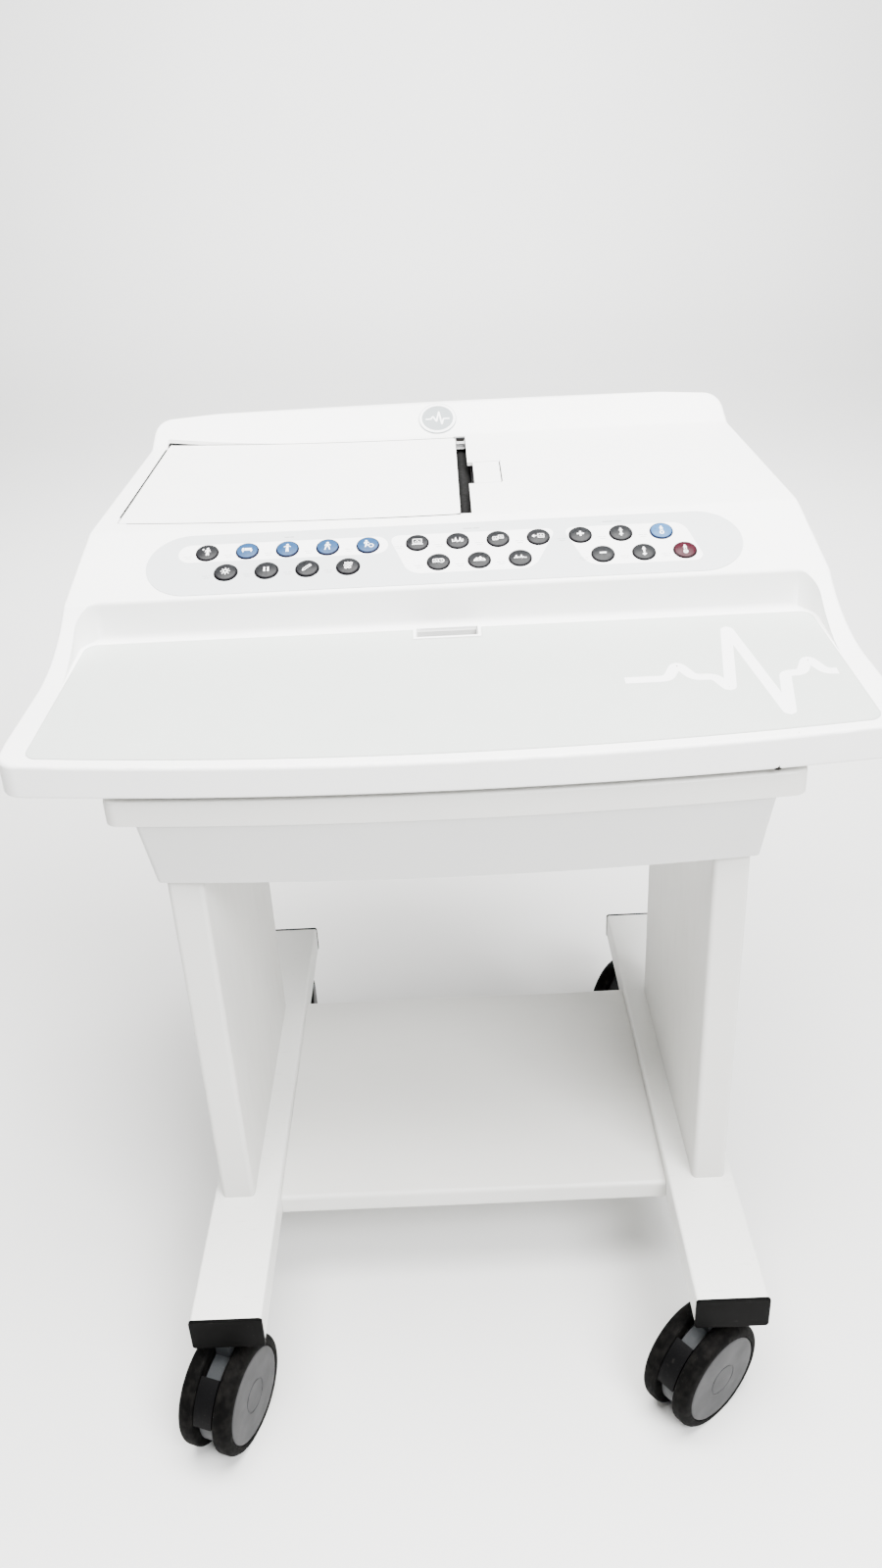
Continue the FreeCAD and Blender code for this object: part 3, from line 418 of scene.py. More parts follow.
def dusty_rubber(name, color, dust):
    finish = Finish(name, color, 0.72)
    finish.stain(finish.span(finish.noise(9 * MM, 6), 0.42, 0.75, 0.0, 0.5), dust)
    finish.stain(finish.span(finish.noise(0.8 * MM, 4), 0.62, 0.72, 0.0, 0.25), dust)
    finish.uneven_gloss(finish.noise(4 * MM, 4), 0.62, 0.82)
    finish.relief(finish.noise(0.5 * MM, 3), 0.04 * MM, 0.5)
    return finish


def glossy_cap(name, color, rough=0.3):
    """A key's dome: smooth, hard plastic with finger marks."""
    finish = Finish(name, color, rough)
    worn = tuple(channel * 1.3 + 0.001 for channel in color)
    finish.stain(finish.span(finish.noise(5 * MM, 4), 0.4, 0.75, 0.0, 0.5), worn)
    finish.uneven_gloss(finish.noise(3 * MM, 5), rough - 0.06, rough + 0.14)
    finish.relief(finish.noise(0.35 * MM, 2), 0.004 * MM, 0.5)
    finish.shader.inputs["Coat Weight"].default_value = 0.02
    finish.shader.inputs["Coat Roughness"].default_value = 0.2
    return finish


def shaded_key_side(name, color):
    """A key's rim and skirt: the key's own plastic made much darker, as painted shade."""
    return glossy_cap(name, color, 0.45).dulled(0.06).material


def printed_film(name, color, rough=0.4):
    finish = Finish(name, color, rough)
    finish.stain(finish.span(finish.noise(60 * MM, 4), 0.35, 0.75, 0.0, 0.6), darker(color, 0.04))
    finish.stain(finish.span(finish.noise(3 * MM, 6), 0.68, 0.8, 0.0, 0.12), (0.4, 0.4, 0.38))
    finish.uneven_gloss(finish.noise(12 * MM, 4), rough - 0.05, rough + 0.08)
    finish.relief(finish.noise(0.4 * MM, 2), 0.006 * MM, 0.5)
    return finish


def bare_metal(name, color, rough, stretch):
    finish = Finish(name, color, rough, 1.0)
    grain = finish.noise(0.5 * MM, 4, stretch)
    finish.uneven_gloss(grain, rough - 0.08, rough + 0.12)
    finish.relief(grain, 0.008 * MM, 0.6)
    finish.stain(finish.span(finish.noise(6 * MM, 4), 0.5, 0.8, 0.0, 0.4), darker(color, 0.3))
    return finish


LOOKS = {
    "powder_white": powder_coat("powder coated tube", (0.76, 0.76, 0.735)),
    "laminate_white": laminate("wrapped board", (0.66, 0.655, 0.63)),
    # The apron's white is set far darker than the tubes': painted shade from the console's lip above it.
    "apron_white": powder_coat("apron paint with painted shade", (0.58, 0.58, 0.57)),
    "base_white": moulded_plastic("bottom pan", (0.68, 0.68, 0.67)),
    "casing_white": moulded_plastic("moulded casing", (0.89, 0.89, 0.88)),
    "black_plastic": moulded_plastic("end cap plastic", (0.0012, 0.0012, 0.0012), 0.45,
                                     dirt=(0.03, 0.028, 0.026), dirty=0.25),
    "pedal_black": moulded_plastic("pedal plastic", (0.002, 0.002, 0.0022), 0.5,
                                   dirt=(0.03, 0.028, 0.025), dirty=0.3),
    "housing_grey": moulded_plastic("caster housing", (0.02, 0.022, 0.024), 0.48,
                                    dirt=(0.07, 0.068, 0.06), dirty=0.3),
    "hub_grey": moulded_plastic("wheel cover", (0.029, 0.029, 0.031), 0.5,
                                dirt=(0.07, 0.066, 0.062), dirty=0.4),
    "tyre_black": dusty_rubber("tyre tread", (0.0012, 0.0012, 0.0012), (0.010, 0.0093, 0.0085)),
    "roller_rubber": dusty_rubber("roller sleeve", (0.005, 0.005, 0.005), (0.012, 0.012, 0.012)),
    "mat_film": printed_film("tray mat", (0.52, 0.55, 0.525)),
    "keypad_film": printed_film("keypad film", (0.54, 0.56, 0.57)),
    "badge_grey": moulded_plastic("badge field", (0.21, 0.24, 0.25), 0.35, depth=0.004 * MM),
    "zinc_steel": bare_metal("zinc plate", (0.62, 0.61, 0.58), 0.35, (1, 1, 6)),
    "head_aluminium": bare_metal("print head", (0.2, 0.2, 0.205), 0.3, (1, 8, 1)),
    "supply_steel": bare_metal("supply cover", (0.6, 0.6, 0.6), 0.38, (8, 1, 1)),
    "motor_metal": moulded_plastic("motor paint", (0.03, 0.03, 0.032), 0.4),
    "bed_black": moulded_plastic("paper bed", (0.006, 0.006, 0.007), 0.6, dirt=(0.03, 0.03, 0.03)),
    "board_green": moulded_plastic("circuit board", (0.02, 0.12, 0.05), 0.4, grain=2 * MM),
    "panel_grey": moulded_plastic("connector panel", (0.08, 0.083, 0.088), 0.45),
    "key_grey": glossy_cap("grey key", (0.0098, 0.0104, 0.0115)),
    "key_blue": glossy_cap("blue key", (0.0145, 0.050, 0.122)),
    "key_light_blue": glossy_cap("light blue key", (0.032, 0.098, 0.215)),
    "key_maroon": glossy_cap("maroon key", (0.030, 0.0014, 0.0062)),
}
# The keys' rims and skirts get much darker copies of the key colours: painted shade on their sides.
KEY_SHADED_SIDES = {
    "key_grey": shaded_key_side("grey key shaded side", (0.0012, 0.0012, 0.002)),
    "key_blue": shaded_key_side("blue key shaded side", (0.0012, 0.003, 0.013)),
    "key_light_blue": shaded_key_side("light blue key shaded side", (0.003, 0.009, 0.03)),
    "key_maroon": shaded_key_side("maroon key shaded side", (0.006, 0.0006, 0.0016)),
}
WHITE_PRINT = printed_film("white print", (0.88, 0.88, 0.88), 0.5).material
GREY_PRINT = printed_film("grey print", (0.33, 0.34, 0.35), 0.6).material
EDGE_PRINT = printed_film("mat edge", (0.47, 0.49, 0.47), 0.5).material
BADGE_RIM = printed_film("badge rim", (0.42, 0.45, 0.46), 0.35).material
# A near-black for the lip's crack, the slot guide's bar and the painted shade in the wheel covers' clip notches.
DARK_GAP = moulded_plastic("crack and notch shade", (0.012, 0.011, 0.010), 0.8).dulled(0.04).material
PALE_GREY = moulded_plastic("light grey mechanism", (0.42, 0.42, 0.42), 0.4).material
PALE_WALL = moulded_plastic("collar wall", (0.62, 0.62, 0.61), 0.5).material
# A near-black for the painted shadow in the gaps round the lid and its button.
GAP_SHADOW_BLACK = moulded_plastic("painted gap shadow", (0.003, 0.003, 0.003), 0.8).dulled(0.04).material
SCREW_ZINC = bare_metal("screw head", (0.55, 0.54, 0.52), 0.35, (1, 1, 1)).material

# The dark finishes shine little, so that they stay dark under the large lights.
SHINE = {
    "black_plastic": 0.03,
    "pedal_black": 0.05,
    "housing_grey": 0.15,
    "hub_grey": 0.15,
    "tyre_black": 0.03,
    "roller_rubber": 0.1,
    "bed_black": 0.15,
    "panel_grey": 0.25,
    "key_grey": 0.13,
    "key_blue": 0.13,
    "key_light_blue": 0.13,
    "key_maroon": 0.13,
}
for slot_name, shine in SHINE.items():
    LOOKS[slot_name].dulled(shine)
for slot_name, look in LOOKS.items():
    LOOKS[slot_name] = look.material


# ---- pieces taken over from the CAD solids -------------------------------------------------------
def surfaced(node, name, angle=35.0, edge=0.0, one_face=False):
    """The node's own shape as one welded mesh, with softened edges where asked, in its finish."""
    clear_selection()
    piece = bpy.data.objects.new(name, NODES[node].data.copy())
    bpy.context.scene.collection.objects.link(piece)
    take(piece)
    bpy.ops.mesh.customdata_custom_splitnormals_clear()
    editing(piece)
    bpy.ops.mesh.remove_doubles(threshold=0.002 * MM)
    if edge or one_face:
        bpy.ops.mesh.dissolve_limited(angle_limit=math.radians(0.3))
    done_editing()
    if edge:
        apply_modifier(piece, "BEVEL", width=edge, segments=2, limit_method="ANGLE",
                       angle_limit=math.radians(40), harden_normals=False)
    soften(piece, angle)
    finish_piece(piece, name, BODY_OF[node], SLOT_OF[node], LOOKS[SLOT_OF[node]])
    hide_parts(node)
    return piece


for node_name in NODES:
    NODES[node_name].data.materials.clear()
    NODES[node_name].data.materials.append(LOOKS[SLOT_OF[node_name]])

RENAMED = {
    "console_shell": "casing",
    "console_base": "bottom_pan",
    "cart_top_plate": "top_plate",
    "apron": "flared_apron",
    "left_rail": "left_foot_rail",
    "right_rail": "right_foot_rail",
    "rail_end_caps": "foot_rail_caps",
    "left_side_panel": "left_panel_board",
    "right_side_panel": "right_panel_board",
    "lower_shelf": "shelf_board",
    "printer_door": "writer_lid",
    "door_release_button": "lid_button",
    "caster_stems": "caster_stem_set",
    "fasteners": "shelf_bolts",
    "platen_roller": "feed_roller",
    "paper_bed": "paper_tray",
    "print_head": "thermal_head",
    "writer_motor": "feed_motor",
    "power_supply": "supply_cover",
    "rear_panel": "connector_plate",
}
SOFT_EDGES = {
    "left_side_panel": 0.8 * MM,
    "right_side_panel": 0.8 * MM,
    "lower_shelf": 0.8 * MM,
    "print_head": 0.3 * MM,
    "rear_panel": 0.25 * MM,
}
for node_name, piece_name in RENAMED.items():
    surfaced(node_name, piece_name, edge=SOFT_EDGES.get(node_name, 0.0))
for caster in CASTERS:
    surfaced(f"{caster}_caster_housing", f"{caster}_housing")
for caster in CASTERS[:2]:
    surfaced(f"{caster}_brake_pedal", f"{caster}_pedal_tongue")


# ---- casters -------------------------------------------------------------------------------------
def axle_of(caster):
    joint = JOINTS[f"{caster}_roll"]
    return Vector(joint["pos_m"]), Vector(joint["axis"]).normalized()


def wheel_sizes():
    """Radius of the tyre, and how far its two faces are from the caster's middle plane."""
    centre, axis = axle_of(CASTERS[0])
    tyres = f"{CASTERS[0]}_tyres"
    middle = centre.dot(axis)
    inner = min(abs(vertex.co.dot(axis) - middle) for vertex in NODES[tyres].data.vertices)
    outer = reach(tyres, axis)[1] - middle
    low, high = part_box(tyres)
    return (high.z - low.z) / 2 / MM, inner / MM, outer / MM


TYRE_R, WHEEL_INNER, WHEEL_OUTER = wheel_sizes()
COVER_R = 46.6
SHOULDER = 7.8          # width of the tyre's rounded outer part
GROOVE_R = 16.2         # the round groove in the cover


def tyre_ring():
    """Tread with a rounded outer shoulder, a fine mould line and a lip that holds the cover."""
    r, a, b = TYRE_R, WHEEL_INNER, WHEEL_OUTER
    lip_r = COVER_R + 0.9
    tread_out = b - SHOULDER
    mould = (a + tread_out) / 2 + 1.0
    shoulder = []
    for step in range(6):
        t = math.radians(90 * step / 6)
        height = lip_r + (r - lip_r) * math.cos(t) ** 0.8
        shoulder.append((height, tread_out + (SHOULDER - 0.4) * math.sin(t)))
    profile = [
        (COVER_R - 2, a + 0.3), (r - 3.0, a + 0.1), (r - 1.2, a + 0.8), (r - 0.3, a + 1.9), (r, a + 3.2),
        (r, mould - 0.35), (r - 0.12, mould - 0.2), (r - 0.12, mould + 0.2), (r, mould + 0.35), *shoulder,
        (lip_r, b - 0.4), (COVER_R + 0.35, b - 0.6), (COVER_R + 0.15, b - 2.4),
        (COVER_R - 2, b - 2.4), (COVER_R - 2, a + 0.3),
    ]
    return turned(profile, 112)


def wheel_cover():
    """Outer disc with a shallow dish, a round groove and a flat middle."""
    b = WHEEL_OUTER
    groove = [(GROOVE_R - 0.7, b - 0.05), (GROOVE_R - 0.4, b - 0.55), (GROOVE_R + 0.4, b - 0.55),
              (GROOVE_R + 0.7, b - 0.1)]
    profile = [
        (0, b + 0.15), (14.9, b + 0.15), *groove, (17.6, b), (30, b - 0.12), (43.5, b - 0.3),
        (45.3, b - 0.55), (46.1, b - 1.0), (46.3, b - 1.8), (45.6, b - 2.3), (43.0, b - 3.4), (13, b - 5.0),
        (13, WHEEL_INNER + 1.0), (9.0, WHEEL_INNER + 1.0), (9.0, b - 5.0), (0, b - 5.0),
    ]
    return turned(profile, 96)


def clip_notch_shade(angle):
    """One of the small dark patches in the cover's groove: painted shade in a clip notch."""
    spot = Vector((GROOVE_R * math.cos(angle), GROOVE_R * math.sin(angle), WHEEL_OUTER - 0.42)) * MM
    notch_shade = block((2.2 * MM, 3.4 * MM, 0.5 * MM), (0, 0, 0), 0.2 * MM, 2)
    notch_shade.data.transform(Matrix.Translation(spot) @ Matrix.Rotation(angle, 4, "Z"))
    return notch_shade


def both_sides(piece):
    """A copy of a wheel piece turned round to the caster's other side, joined to the first."""
    twin = copied(piece)
    twin.data.transform(Matrix.Rotation(math.pi, 4, "Y"))
    return joined([piece, twin])


TYRES = both_sides(tyre_ring())
COVERS = both_sides(wheel_cover())
# Dark patches in the covers' grooves: painted shade in the clip notches.
NOTCH_SHADES = both_sides(joined([clip_notch_shade(math.radians(angle)) for angle in (58, 238)]))
for caster in CASTERS:
    centre, axis = axle_of(caster)
    seat = along(centre, axis, (0, 0, 1))
    body = f"{caster}_wheel_set"
    for pattern, name, node, slot, look in (
            (TYRES, "tyre_pair", f"{caster}_tyres", "tyre_black", LOOKS["tyre_black"]),
            (COVERS, "wheel_covers", f"{caster}_wheels", "hub_grey", LOOKS["hub_grey"]),
            (NOTCH_SHADES, "clip_notch_shades", None, "pedal_black", DARK_GAP)):
        piece = copied(pattern)
        piece.data.transform(seat)
        soften(piece, 32)
        finish_piece(piece, f"{caster}_{name}", body, slot, look)
        if node:
            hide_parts(node)
for pattern in (TYRES, COVERS, NOTCH_SHADES):
    bpy.data.objects.remove(pattern)


# ---- tray: mat, its print, the cable collar and the cracked lip ----------------------------------
TRAY_SLOPE = math.radians(7.16)
TRAY_UP = Vector((0, -math.sin(TRAY_SLOPE), math.cos(TRAY_SLOPE)))
TRAY_FOOT = (0, -190.04, 699.0)     # the middle of the tray's front edge, where the print's y is 0
MAT_FACE = face_of("tray_mat", TRAY_UP, TRAY_FOOT)


def edged_mat():
    """The mat with a fine darker line round it, where the film's print stops."""
    mat = surfaced("tray_mat", "keyboard_mat", one_face=True)
    editing(mat)
    choose_faces(mat, lambda centre, normal: normal.dot(TRAY_UP) > 0.999)
    bpy.ops.mesh.inset(thickness=1.5 * MM, use_even_offset=True)
    done_editing()
    mat.data.materials.append(EDGE_PRINT)
    for face in mat.data.polygons:
        if not face.select and face.normal.dot(TRAY_UP) > 0.999:
            face.material_index = 1


def mat_print():
    """A plain broad pulse line across the mat's right-hand end."""
    beat = [(163, 84), (203, 84), (215, 110), (227, 84), (246, 84), (256, 60), (276, 178), (299, 14),
            (311, 84), (327, 84), (338, 110), (349, 84), (360, 84)]
    line = inked([(eased(beat, 7.0), 11.0, False)], 0.014)
    laid(line, MAT_FACE, "mat_pulse_line", "mat_film", WHITE_PRINT)


def cable_collar():
    """The light collar that lines the cable slot at the back of the tray."""
    collar = block((61.6 * MM, 20.6 * MM, 14 * MM), (0, 6.0 * MM, 715.0 * MM))
    editing(collar)
    choose_faces(collar, lambda centre, normal: abs(normal.z) > 0.5)
    bpy.ops.mesh.delete(type="FACE")
    done_editing()
    apply_modifier(collar, "SOLIDIFY", thickness=1.2 * MM, offset=-1.0)
    apply_modifier(collar, "BEVEL", width=0.3 * MM, segments=2, limit_method="ANGLE")
    soften(collar)
    finish_piece(collar, "cable_collar", "trolley", "casing_white", PALE_WALL)


def lip_crack():
    """A hairline crack down the front lip, with a chip out of the lower edge."""
    upper = [(299.0, -205.4, 697.3, 0.20), (297.6, -207.4, 696.6, 0.44), (295.6, -209.8, 694.8, 0.68),
             (293.6, -210.5, 691.6, 0.80), (291.2, -210.7, 688.6, 0.52)]
    lower = [(289.8, -210.9, 686.2, 0.48), (287.4, -211.1, 681.0, 0.60), (285.6, -211.4, 676.4, 0.44),
             (284.4, -211.5, 673.0, 0.60), (282.6, -211.7, 669.0, 1.0), (281.8, -211.8, 665.9, 3.0)]
    chip = [(284.6, -211.5, 665.6, 0.8), (281.6, -211.8, 665.9, 3.0), (278.4, -212.1, 665.5, 0.8)]
    crack = drawn([(run, False) for run in (upper, lower, chip)])
    finish_piece(crack, "lip_crack", "trolley", "casing_white", DARK_GAP)


edged_mat()
mat_print()
cable_collar()
lip_crack()


# ---- keypad: film print and keys -----------------------------------------------------------------
FACET_UP = -Vector(JOINTS["test_key_top_1_press"]["axis"]).normalized()
FACET_FOOT = (0, 22.46, 764.4)      # the middle of the keypad slope's front edge, where y is 0
FILM_FACE = face_of("keypad_overlay", FACET_UP, FACET_FOOT)
KEYS = [node for node in NODES if "_key_" in node]
PRINT_THICK = 0.12
CAPTION_BOLD = 0.9
TITLE_BOLD = 1.7
TITLE_Y = 87.0


def key_seat(node):
    """Where a key's cap stands: the matrix with its origin at the foot of its crown."""
    low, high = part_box(node)
    up_slope = FACET_UP.cross(Vector((1, 0, 0)))
    least, most = reach(node, up_slope)
    top = reach(node, FACET_UP)[1] - KEY_CROWN * MM
    origin = Vector(((low.x + high.x) / 2, 0, 0)) + up_slope * ((least + most) / 2) + FACET_UP * top
    return along(origin, FACET_UP, (1, 0, 0))


def on_film(node):
    """A key's middle in the film's own (x, y), in millimetres."""
    spot = FILM_FACE.inverted() @ key_seat(node).translation
    return spot.x / MM, spot.y / MM


def white_zones():
    """White fields behind the groups: a strip for the upper test row, slanted fields for the others."""
    zones = (
        ("test", [(-275, 54.8), (-57, 54.8), (-57, 81.2), (-275, 81.2)], 13.1),
        ("report", [(-36, 22.5), (92, 22.5), (119, 81.2), (-57, 81.2)], 12.5),
        ("control", [(146, 22.5), (266, 22.5), (250, 81.2), (124, 81.2)], 12.5),
    )
    for name, corners, corner_r in zones:
        zone = plate([(x * MM, y * MM) for x, y in corners], PRINT_THICK * MM, corner_r * MM)
        zone.data.transform(Matrix.Translation((0, 0, -PRINT_THICK / 2 * MM)))
        laid(zone, FILM_FACE, f"{name}_white_field", "keypad_film", WHITE_PRINT)


def film_captions():
    """Short grey dashes for the captions: three by each key, and two bolder ones over each group."""
    strokes = []
    for node in KEYS:
        x, y = on_film(node)
        first_word = 3.6 + (x * 7.3 + y) % 2.4
        strokes.append(([(x - 24, y - 3.6), (x - 24 + first_word, y - 3.6)], CAPTION_BOLD, False))
        strokes.append(([(x - 23 + first_word, y - 3.6), (x - 15.6, y - 3.6)], CAPTION_BOLD, False))
        strokes.append(([(x - 22.4, y - 6.6), (x - 16.4, y - 6.6)], CAPTION_BOLD, False))
    for x, half in ((-160.5, 5.0), (30.0, 8.5), (177.0, 9.8)):
        strokes.append(([(x - half, TITLE_Y), (x + half * 0.1, TITLE_Y)], TITLE_BOLD, False))
        strokes.append(([(x + half * 0.22, TITLE_Y), (x + half, TITLE_Y)], TITLE_BOLD, False))
    laid(inked(strokes, 0.2), FILM_FACE, "film_captions", "keypad_film", GREY_PRINT)


def line(*points, w=0.95):
    return (walked(points), w, False)


def ring(x, y, radius, w=0.85):
    return (ring_points(x, y, radius), w, True)


def dot(x, y, radius):
    return (ring_points(x, y, radius / 2, 12), radius, True)


def outline(*points, w=0.8):
    return (walked([*points, points[0]])[:-1], w, True)


def figure(x, y, s, legs=((-1.0, -5.2), (1.0, -5.2)), arms=((-2.5, -0.4), (2.5, -0.4))):
    """A plain standing figure, `s` times full size, with its feet and hands where asked."""
    def at(px, py):
        return (x + px * s, y + py * s)
    strokes = [dot(*at(0, 4.6), 1.35 * s), line(at(0, 2.4), at(0, -0.8), w=2.3 * s)]
    for px, py in legs:
        strokes.append(line(at(px * 0.5, -0.8), at(px, py), w=1.25 * s))
    for px, py in arms:
        side = 1.15 if px > 0 else -1.15
        strokes.append(line(at(side * 0.6, 2.7), at(side * 1.5, 2.3), at(px, py), w=0.95 * s))
    return strokes


def page(x, y, wide, high):
    """A sheet with a small trace on it."""
    a, b = wide / 2, high / 2
    trace = [(x - a * 0.6, y - b * 0.2), (x - a * 0.25, y - b * 0.2), (x, y + b * 0.5),
             (x + a * 0.25, y - b * 0.5), (x + a * 0.6, y - b * 0.1)]
    return [outline((x - a, y - b), (x + a, y - b), (x + a, y + b), (x - a, y + b)), line(*trace, w=0.7)]


def sun():
    rays = []
    for index in range(8):
        x, y = math.cos(math.radians(45 * index)), math.sin(math.radians(45 * index))
        rays.append(line((3.4 * x, 3.4 * y), (4.9 * x, 4.9 * y), w=1.0))
    return [ring(0, 0, 2.1, 1.3), *rays]


def arrow(shaft, tip, barbs):
    """An upright arrow: the heights of its shaft's ends, of its tip and of the ends of its barbs."""
    first, last = shaft
    return [line((0, first), (0, last), w=1.3), line((-1.9, barbs), (0, tip), (1.9, barbs), w=1.2)]


PICTURES = {
    "test_key_top_1": [
        *figure(0.8, 0, 1.05),
        line((-4.6, 4.4), (-3.2, 3.2), w=1.0),
        line((-4.6, 3.0), (-3.2, 4.6), w=1.0),
    ],
    "test_key_top_2": [
        dot(-4.3, 1.9, 1.3),
        line((-2.6, 1.6), (4.6, 1.6), w=2.2),
        line((-5.6, -0.5), (5.6, -0.5)),
        line((-4.2, -0.5), (-4.2, -3.0)),
        line((4.2, -0.5), (4.2, -3.0)),
    ],
    "test_key_top_3": figure(0, 0, 1.05, arms=((-3.4, 1.6), (3.4, 1.6))),
    "test_key_top_4": figure(0, 0, 1.05, legs=((-2.6, -5.0), (2.2, -5.0)), arms=((-2.4, -0.2), (2.8, 0.6))),
    "test_key_top_5": [
        *figure(-1.6, 0.6, 0.95, legs=((1.6, -3.6), (-0.9, -5.2)), arms=((-2.3, 0.2), (3.2, 0.8))),
        ring(3.4, -2.2, 2.3),
    ],
    "test_key_bottom_1": sun(),
    "test_key_bottom_2": [line((x, -3.2), (x, 3.2), w=2.0) for x in (-1.9, 1.9)],
    "test_key_bottom_3": [
        outline((-4.6, -4.4), (-3.9, -1.9), (2.9, 4.3), (4.4, 2.7), (-2.3, -3.7)),
        line((1.4, 3.0), (3.0, 1.5), w=0.8),
        dot(-4.2, -4.0, 0.8),
    ],
    "test_key_bottom_4": [
        line((-4.2, 0), (4.2, 0), w=0.9),
        line((-2.8, 1.6), (-2.8, 4.6), w=1.2),
        *(ring(x, y, 1.3, 1.0) for x, y in ((0, 3.0), (3.2, 3.0), (-1.7, -3.0), (1.7, -3.0))),
    ],
    "report_key_top_1": [*page(0, 0.7, 9.0, 6.0), line((-5.6, -3.8), (5.6, -3.8), w=1.1)],
    "report_key_top_2": [
        line((-5.4, 1.0), (-5.4, -2.4), (-3.0, -2.4), (-2.0, 3.2), (-0.9, -3.2), (0, -2.4), (1.6, -2.4),
             (2.6, 3.2), (3.6, -3.0), (4.4, -2.4), (5.4, -2.4), (5.4, 1.0), w=1.0),
    ],
    "report_key_top_3": [*page(-2.8, -0.8, 5.0, 4.6), *page(2.9, 1.2, 5.0, 4.6)],
    "report_key_top_4": [
        *page(2.6, 0, 6.0, 5.4),
        line((-1.8, 0), (-6.0, 0), w=1.1),
        line((-4.2, 1.9), (-6.2, 0), (-4.2, -1.9), w=1.0),
    ],
    "report_key_bottom_1": [
        *page(-2.8, 0.4, 5.4, 4.6),
        ring(2.9, 0.2, 2.8),
        line((2.9, 1.8), (2.9, 0.2), (4.2, -0.6), w=0.8),
    ],
    "report_key_bottom_2": [
        line((-6.0, -2.4), (6.0, -2.4), w=1.2),
        line((-5.4, -2.0), (-2.4, 1.4), (-0.9, -0.2), (1.2, 3.0), (3.4, -0.4), (4.4, 0.6), (5.8, -2.0),
             w=1.1),
        line((-2.4, 0.2), (-2.4, -2.2), w=1.4),
        line((1.2, 1.4), (1.2, -2.2), w=1.8),
    ],
    "report_key_bottom_3": [
        line((-6.4, -1.2), (-4.8, -1.2), (-4.0, 2.6), (-3.2, -1.8), (-2.0, -0.4), (-0.8, -1.2), (0.4, -1.2),
             (1.2, 2.6), (2.0, -1.8), (3.2, -0.4), (4.2, -1.2), (6.4, -1.2), w=1.0),
    ],
    "control_key_top_1": [line((-3.6, 0), (3.6, 0), w=1.9), line((0, -3.6), (0, 3.6), w=1.9)],
    "control_key_top_2": [*figure(0, 1.9, 0.68), *arrow((-2.6, -6.0), -2.2, -4.0)],
    "control_key_top_3": [
        *figure(0, 2.1, 0.68, legs=((-1.8, -4.4), (1.8, -4.4))),
        ring(0, -4.0, 1.9, 1.0),
    ],
    "control_key_bottom_1": [line((-3.4, 0), (3.4, 0), w=2.0)],
    "control_key_bottom_2": [*figure(0, 2.1, 0.68), *arrow((-2.0, -5.4), -5.9, -4.1)],
    "control_key_bottom_3": [
        *figure(0, 2.1, 0.68, legs=((-1.8, -4.4), (1.8, -4.4))),
        ring(0, -4.0, 1.9, 1.0),
        dot(0, -4.0, 0.7),
    ],
}


def dome_height(x, y=0.0):
    """How high a key's dome is above its seat, in millimetres."""
    return KEY_CROWN - KEY_DOME_R + math.sqrt(KEY_DOME_R ** 2 - x * x - y * y)


def key_cap():
    """A key turned in one: plunger, skirt, rounded rim and a shallow domed top."""
    dome = [(r, dome_height(r)) for r in (10, 8.5, 7, 5.5, 4, 2.5, 1.2, 0)]
    profile = [(0, -12), (4.5, -12), (4.5, -5.7), (13.75, -5.7), (13.75, -4.5), (12.15, -4.5), (12.15, 0.9),
               (12.0, 1.45), (11.6, 1.95), (11.1, 2.2), (KEY_RIM_R, 2.3), (10.3, 2.2), *dome]
    return turned(profile, 64)


def key_picture(node):
    """A key's white sign, bent over its dome."""
    sign = inked(PICTURES[node], 0.12)
    for vertex in sign.data.vertices:
        vertex.co.z += dome_height(vertex.co.x / MM, vertex.co.y / MM) * MM
    sign.data.materials.clear()
    sign.data.materials.append(WHITE_PRINT)
    return sign


white_zones()
film_captions()
surfaced("keypad_overlay", "keypad_film")
CAP = key_cap()
for key in KEYS:
    cap = copied(CAP)
    cap.data.materials.append(LOOKS[SLOT_OF[key]])
    cap.data.materials.append(KEY_SHADED_SIDES[SLOT_OF[key]])
    # Faces outside the top disc take the darker copy: painted shade on the key's rim and skirt.
    for face in cap.data.polygons:
        on_top = face.center.xy.length < KEY_TOP_R * MM and face.center.z > 0
        face.material_index = 0 if on_top else 1
    cap = joined([cap, key_picture(key)])
    cap.data.transform(key_seat(key))
    soften(cap)
    finish_piece(cap, f"{key}_cap", BODY_OF[key], SLOT_OF[key])
    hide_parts(key)
bpy.data.objects.remove(CAP)


# ---- deck: badge, slot guide and lid button ------------------------------------------------------
DECK_UP = -Vector(JOINTS["release_press"]["axis"]).normalized()
DECK_FACE = along(Vector((0, 121.96, 810.7)) * MM, DECK_UP, (1, 0, 0))
BADGE_UP = Vector((0, -0.6068, 0.7949))

# The painted shadow lines in the gaps round the lid's opening and its button, in the deck's own millimetres; the
# opening's long edges are bowed.
GAP_LINE_FRONT = ((-349.6, 19.92), (20.0, 1.92))
GAP_LINE_REAR = ((-328.4, 243.88), (20.0, 221.88))
GAP_LINE_LEFT = [(-348.75, 35.0), (-330.3, 230.0)]
GAP_LINE_BOW = 5.7
GAP_LINE_START = 0.03       # the share of a bowed edge that the opening's round corner takes
BUTTON_RIGHT = [(68.81, 84.0), (68.81, 140.0)]
BUTTON_REAR = [(40.0, 142.75), (67.0, 142.75)]


def flat_ring(inner, outer, high):
    return turned([(inner, -0.1), (outer, -0.1), (outer, high), (inner, high), (inner, -0.1)], 96)


